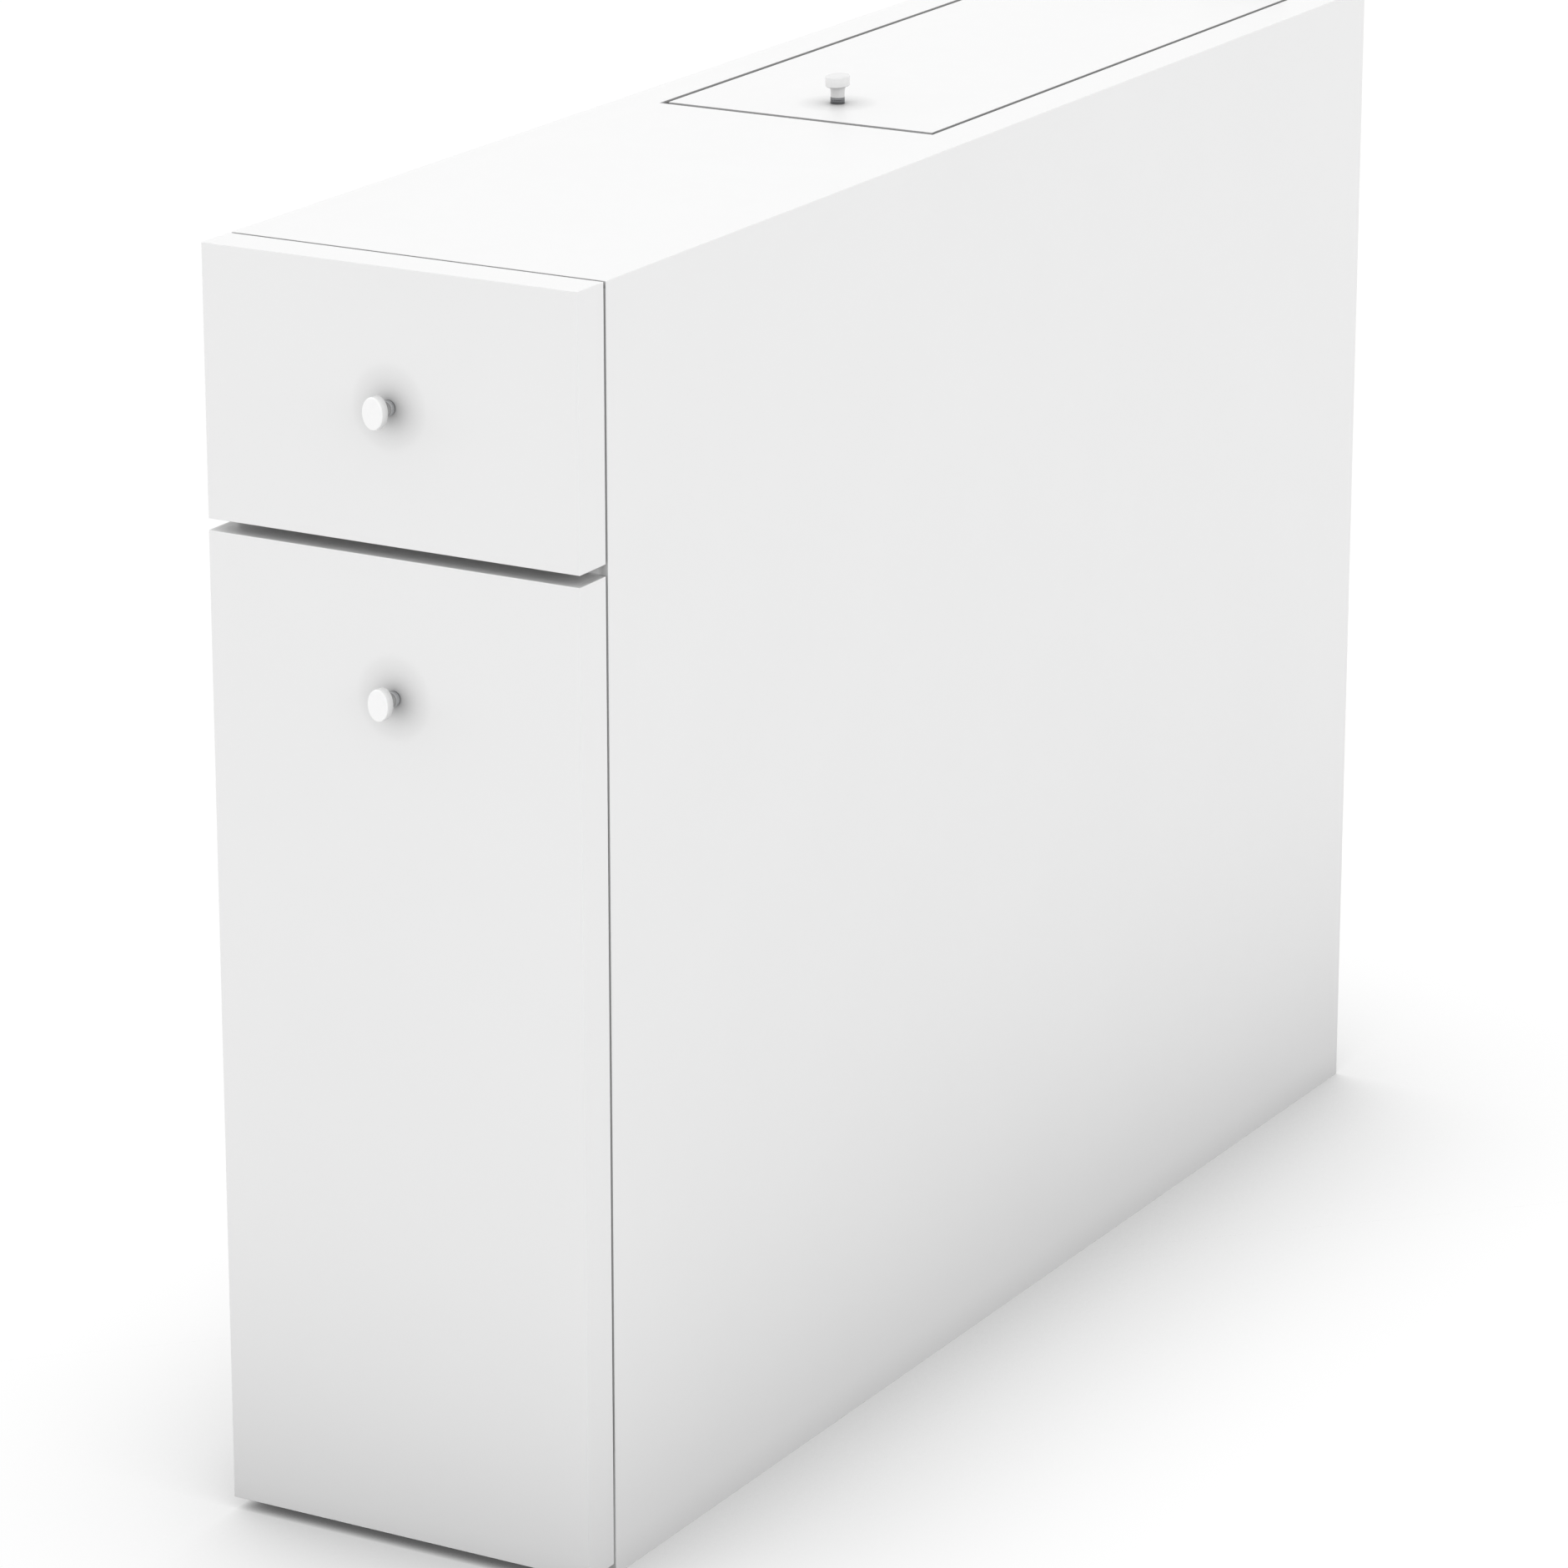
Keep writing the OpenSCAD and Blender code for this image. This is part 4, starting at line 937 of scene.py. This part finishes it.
def seen_directly(tree):
    """1 for rays from the camera, from a mirror-like surface or through a clear one"""
    paths = add(tree, "ShaderNodeLightPath", {}).outputs
    mirror = {0: paths["Is Glossy Ray"], 1: paths["Is Transmission Ray"]}
    either = add(tree, "ShaderNodeMath", mirror, operation="MAXIMUM")
    all_three = {0: paths["Is Camera Ray"], 1: either.outputs[0]}
    return add(tree, "ShaderNodeMath", all_three, operation="MAXIMUM").outputs[0]


def make_sky():
    """White seen directly, and a soft dome of light that is stronger near the horizon"""
    world = bpy.data.worlds.new("studio")
    bpy.context.scene.world = world
    world.use_nodes = True
    tree = world.node_tree
    tree.nodes.clear()
    direction = add(tree, "ShaderNodeTexCoord", {}).outputs["Generated"]
    height = add(tree, "ShaderNodeSeparateXYZ", {"Vector": direction}).outputs["Z"]
    rise = {"Value": height, "To Min": HORIZON_LIGHT, "To Max": ZENITH_LIGHT}
    dome = add(tree, "ShaderNodeMapRange", rise).outputs[0]
    light = {FACTOR: seen_directly(tree), NUMBER_A: dome, NUMBER_B: 1.0}
    strength = add(tree, "ShaderNodeMix", light).outputs[0]
    sky = add(tree, "ShaderNodeBackground", {"Color": (1, 1, 1, 1), "Strength": strength})
    add(tree, "ShaderNodeOutputWorld", {"Surface": sky.outputs[0]})


def shadowed(tree):
    """Brightness of the floor: the wide shadow bent so that it fades softly, and the narrow one"""
    sky = add(
        tree, "ShaderNodeAmbientOcclusion", {"Distance": SHADOW_REACH}, samples=SHADOW_SAMPLES
    )
    hidden = add(tree, "ShaderNodeMath", {0: 1.0, 1: sky.outputs["AO"]}, operation="SUBTRACT")
    of_wall = {0: hidden.outputs[0], 1: 1 / WALL_HIDES}
    share = add(tree, "ShaderNodeMath", of_wall, operation="MULTIPLY")
    bent = add(tree, "ShaderNodeMath", {0: share.outputs[0], 1: SHADOW_CURVE}, operation="POWER")
    shade = add(tree, "ShaderNodeMath", {0: bent.outputs[0], 1: SHADOW_DEPTH}, operation="MULTIPLY")
    close = add(
        tree, "ShaderNodeAmbientOcclusion", {"Distance": CONTACT_REACH}, samples=SHADE_SAMPLES
    )
    narrow = {
        "Value": close.outputs["AO"],
        "From Min": 1.0,
        "From Max": 1 - WALL_HIDES,
        "To Max": CONTACT_DEPTH,
    }
    contact = add(tree, "ShaderNodeMapRange", narrow)
    sum_of_both = {0: shade.outputs[0], 1: contact.outputs[0]}
    both = add(tree, "ShaderNodeMath", sum_of_both, operation="ADD")
    less = {0: FLOOR_BRIGHTEST, 1: both.outputs[0]}
    shown = add(tree, "ShaderNodeMath", less, operation="SUBTRACT")
    limited = {0: shown.outputs[0], 1: FLOOR_DARKEST}
    return add(tree, "ShaderNodeMath", limited, operation="MAXIMUM").outputs[0]


def bounced(tree):
    """Light that the floor sends up: next to none close to the cabinet's foot, full further out"""
    low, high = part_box("right_side_panel")
    half = Vector((high.x, (high.y - low.y) / 2, 0))
    middle = Vector((0, (high.y + low.y) / 2, 0))
    place = add(tree, "ShaderNodeTexCoord", {}).outputs["Object"]
    from_middle = add(tree, "ShaderNodeVectorMath", {0: place, 1: middle}, operation="SUBTRACT")
    folded = add(tree, "ShaderNodeVectorMath", {0: from_middle.outputs[0]}, operation="ABSOLUTE")
    past = add(tree, "ShaderNodeVectorMath", {0: folded.outputs[0], 1: half}, operation="SUBTRACT")
    beyond = {0: past.outputs[0], 1: (0, 0, 0)}
    outside = add(tree, "ShaderNodeVectorMath", beyond, operation="MAXIMUM")
    away = add(tree, "ShaderNodeVectorMath", {0: outside.outputs[0]}, operation="LENGTH")
    growth = {
        "Value": away.outputs["Value"],
        "From Min": BOUNCE_FROM,
        "From Max": BOUNCE_TO,
        "To Min": BOUNCE_LEAST,
        "To Max": BOUNCE_MOST,
    }
    return add(tree, "ShaderNodeMapRange", growth, interpolation_type="SMOOTHSTEP").outputs[0]


def make_floor():
    """White floor that keeps the object's soft shadow and sends some light up"""
    shape = bmesh.new()
    bmesh.ops.create_grid(shape, x_segments=1, y_segments=1, size=FLOOR_SIZE / 2)
    bmesh.ops.translate(shape, verts=shape.verts, vec=(0, 0, -FLOOR_DROP))
    mesh = bpy.data.meshes.new("floor")
    shape.to_mesh(mesh)
    shape.free()
    floor = bpy.data.objects.new("floor", mesh)
    bpy.context.scene.collection.objects.link(floor)

    made = bpy.data.materials.new("studio_floor")
    made.use_nodes = True
    tree = made.node_tree
    tree.nodes.clear()
    light = {FACTOR: seen_directly(tree), NUMBER_A: bounced(tree), NUMBER_B: shadowed(tree)}
    strength = add(tree, "ShaderNodeMix", light).outputs[0]
    glow = add(tree, "ShaderNodeEmission", {"Strength": strength})
    add(tree, "ShaderNodeOutputMaterial", {"Surface": glow.outputs[0]})
    mesh.materials.append(made)


make_camera()
make_sky()
make_floor()
bpy.context.scene.view_settings.view_transform = "Standard"
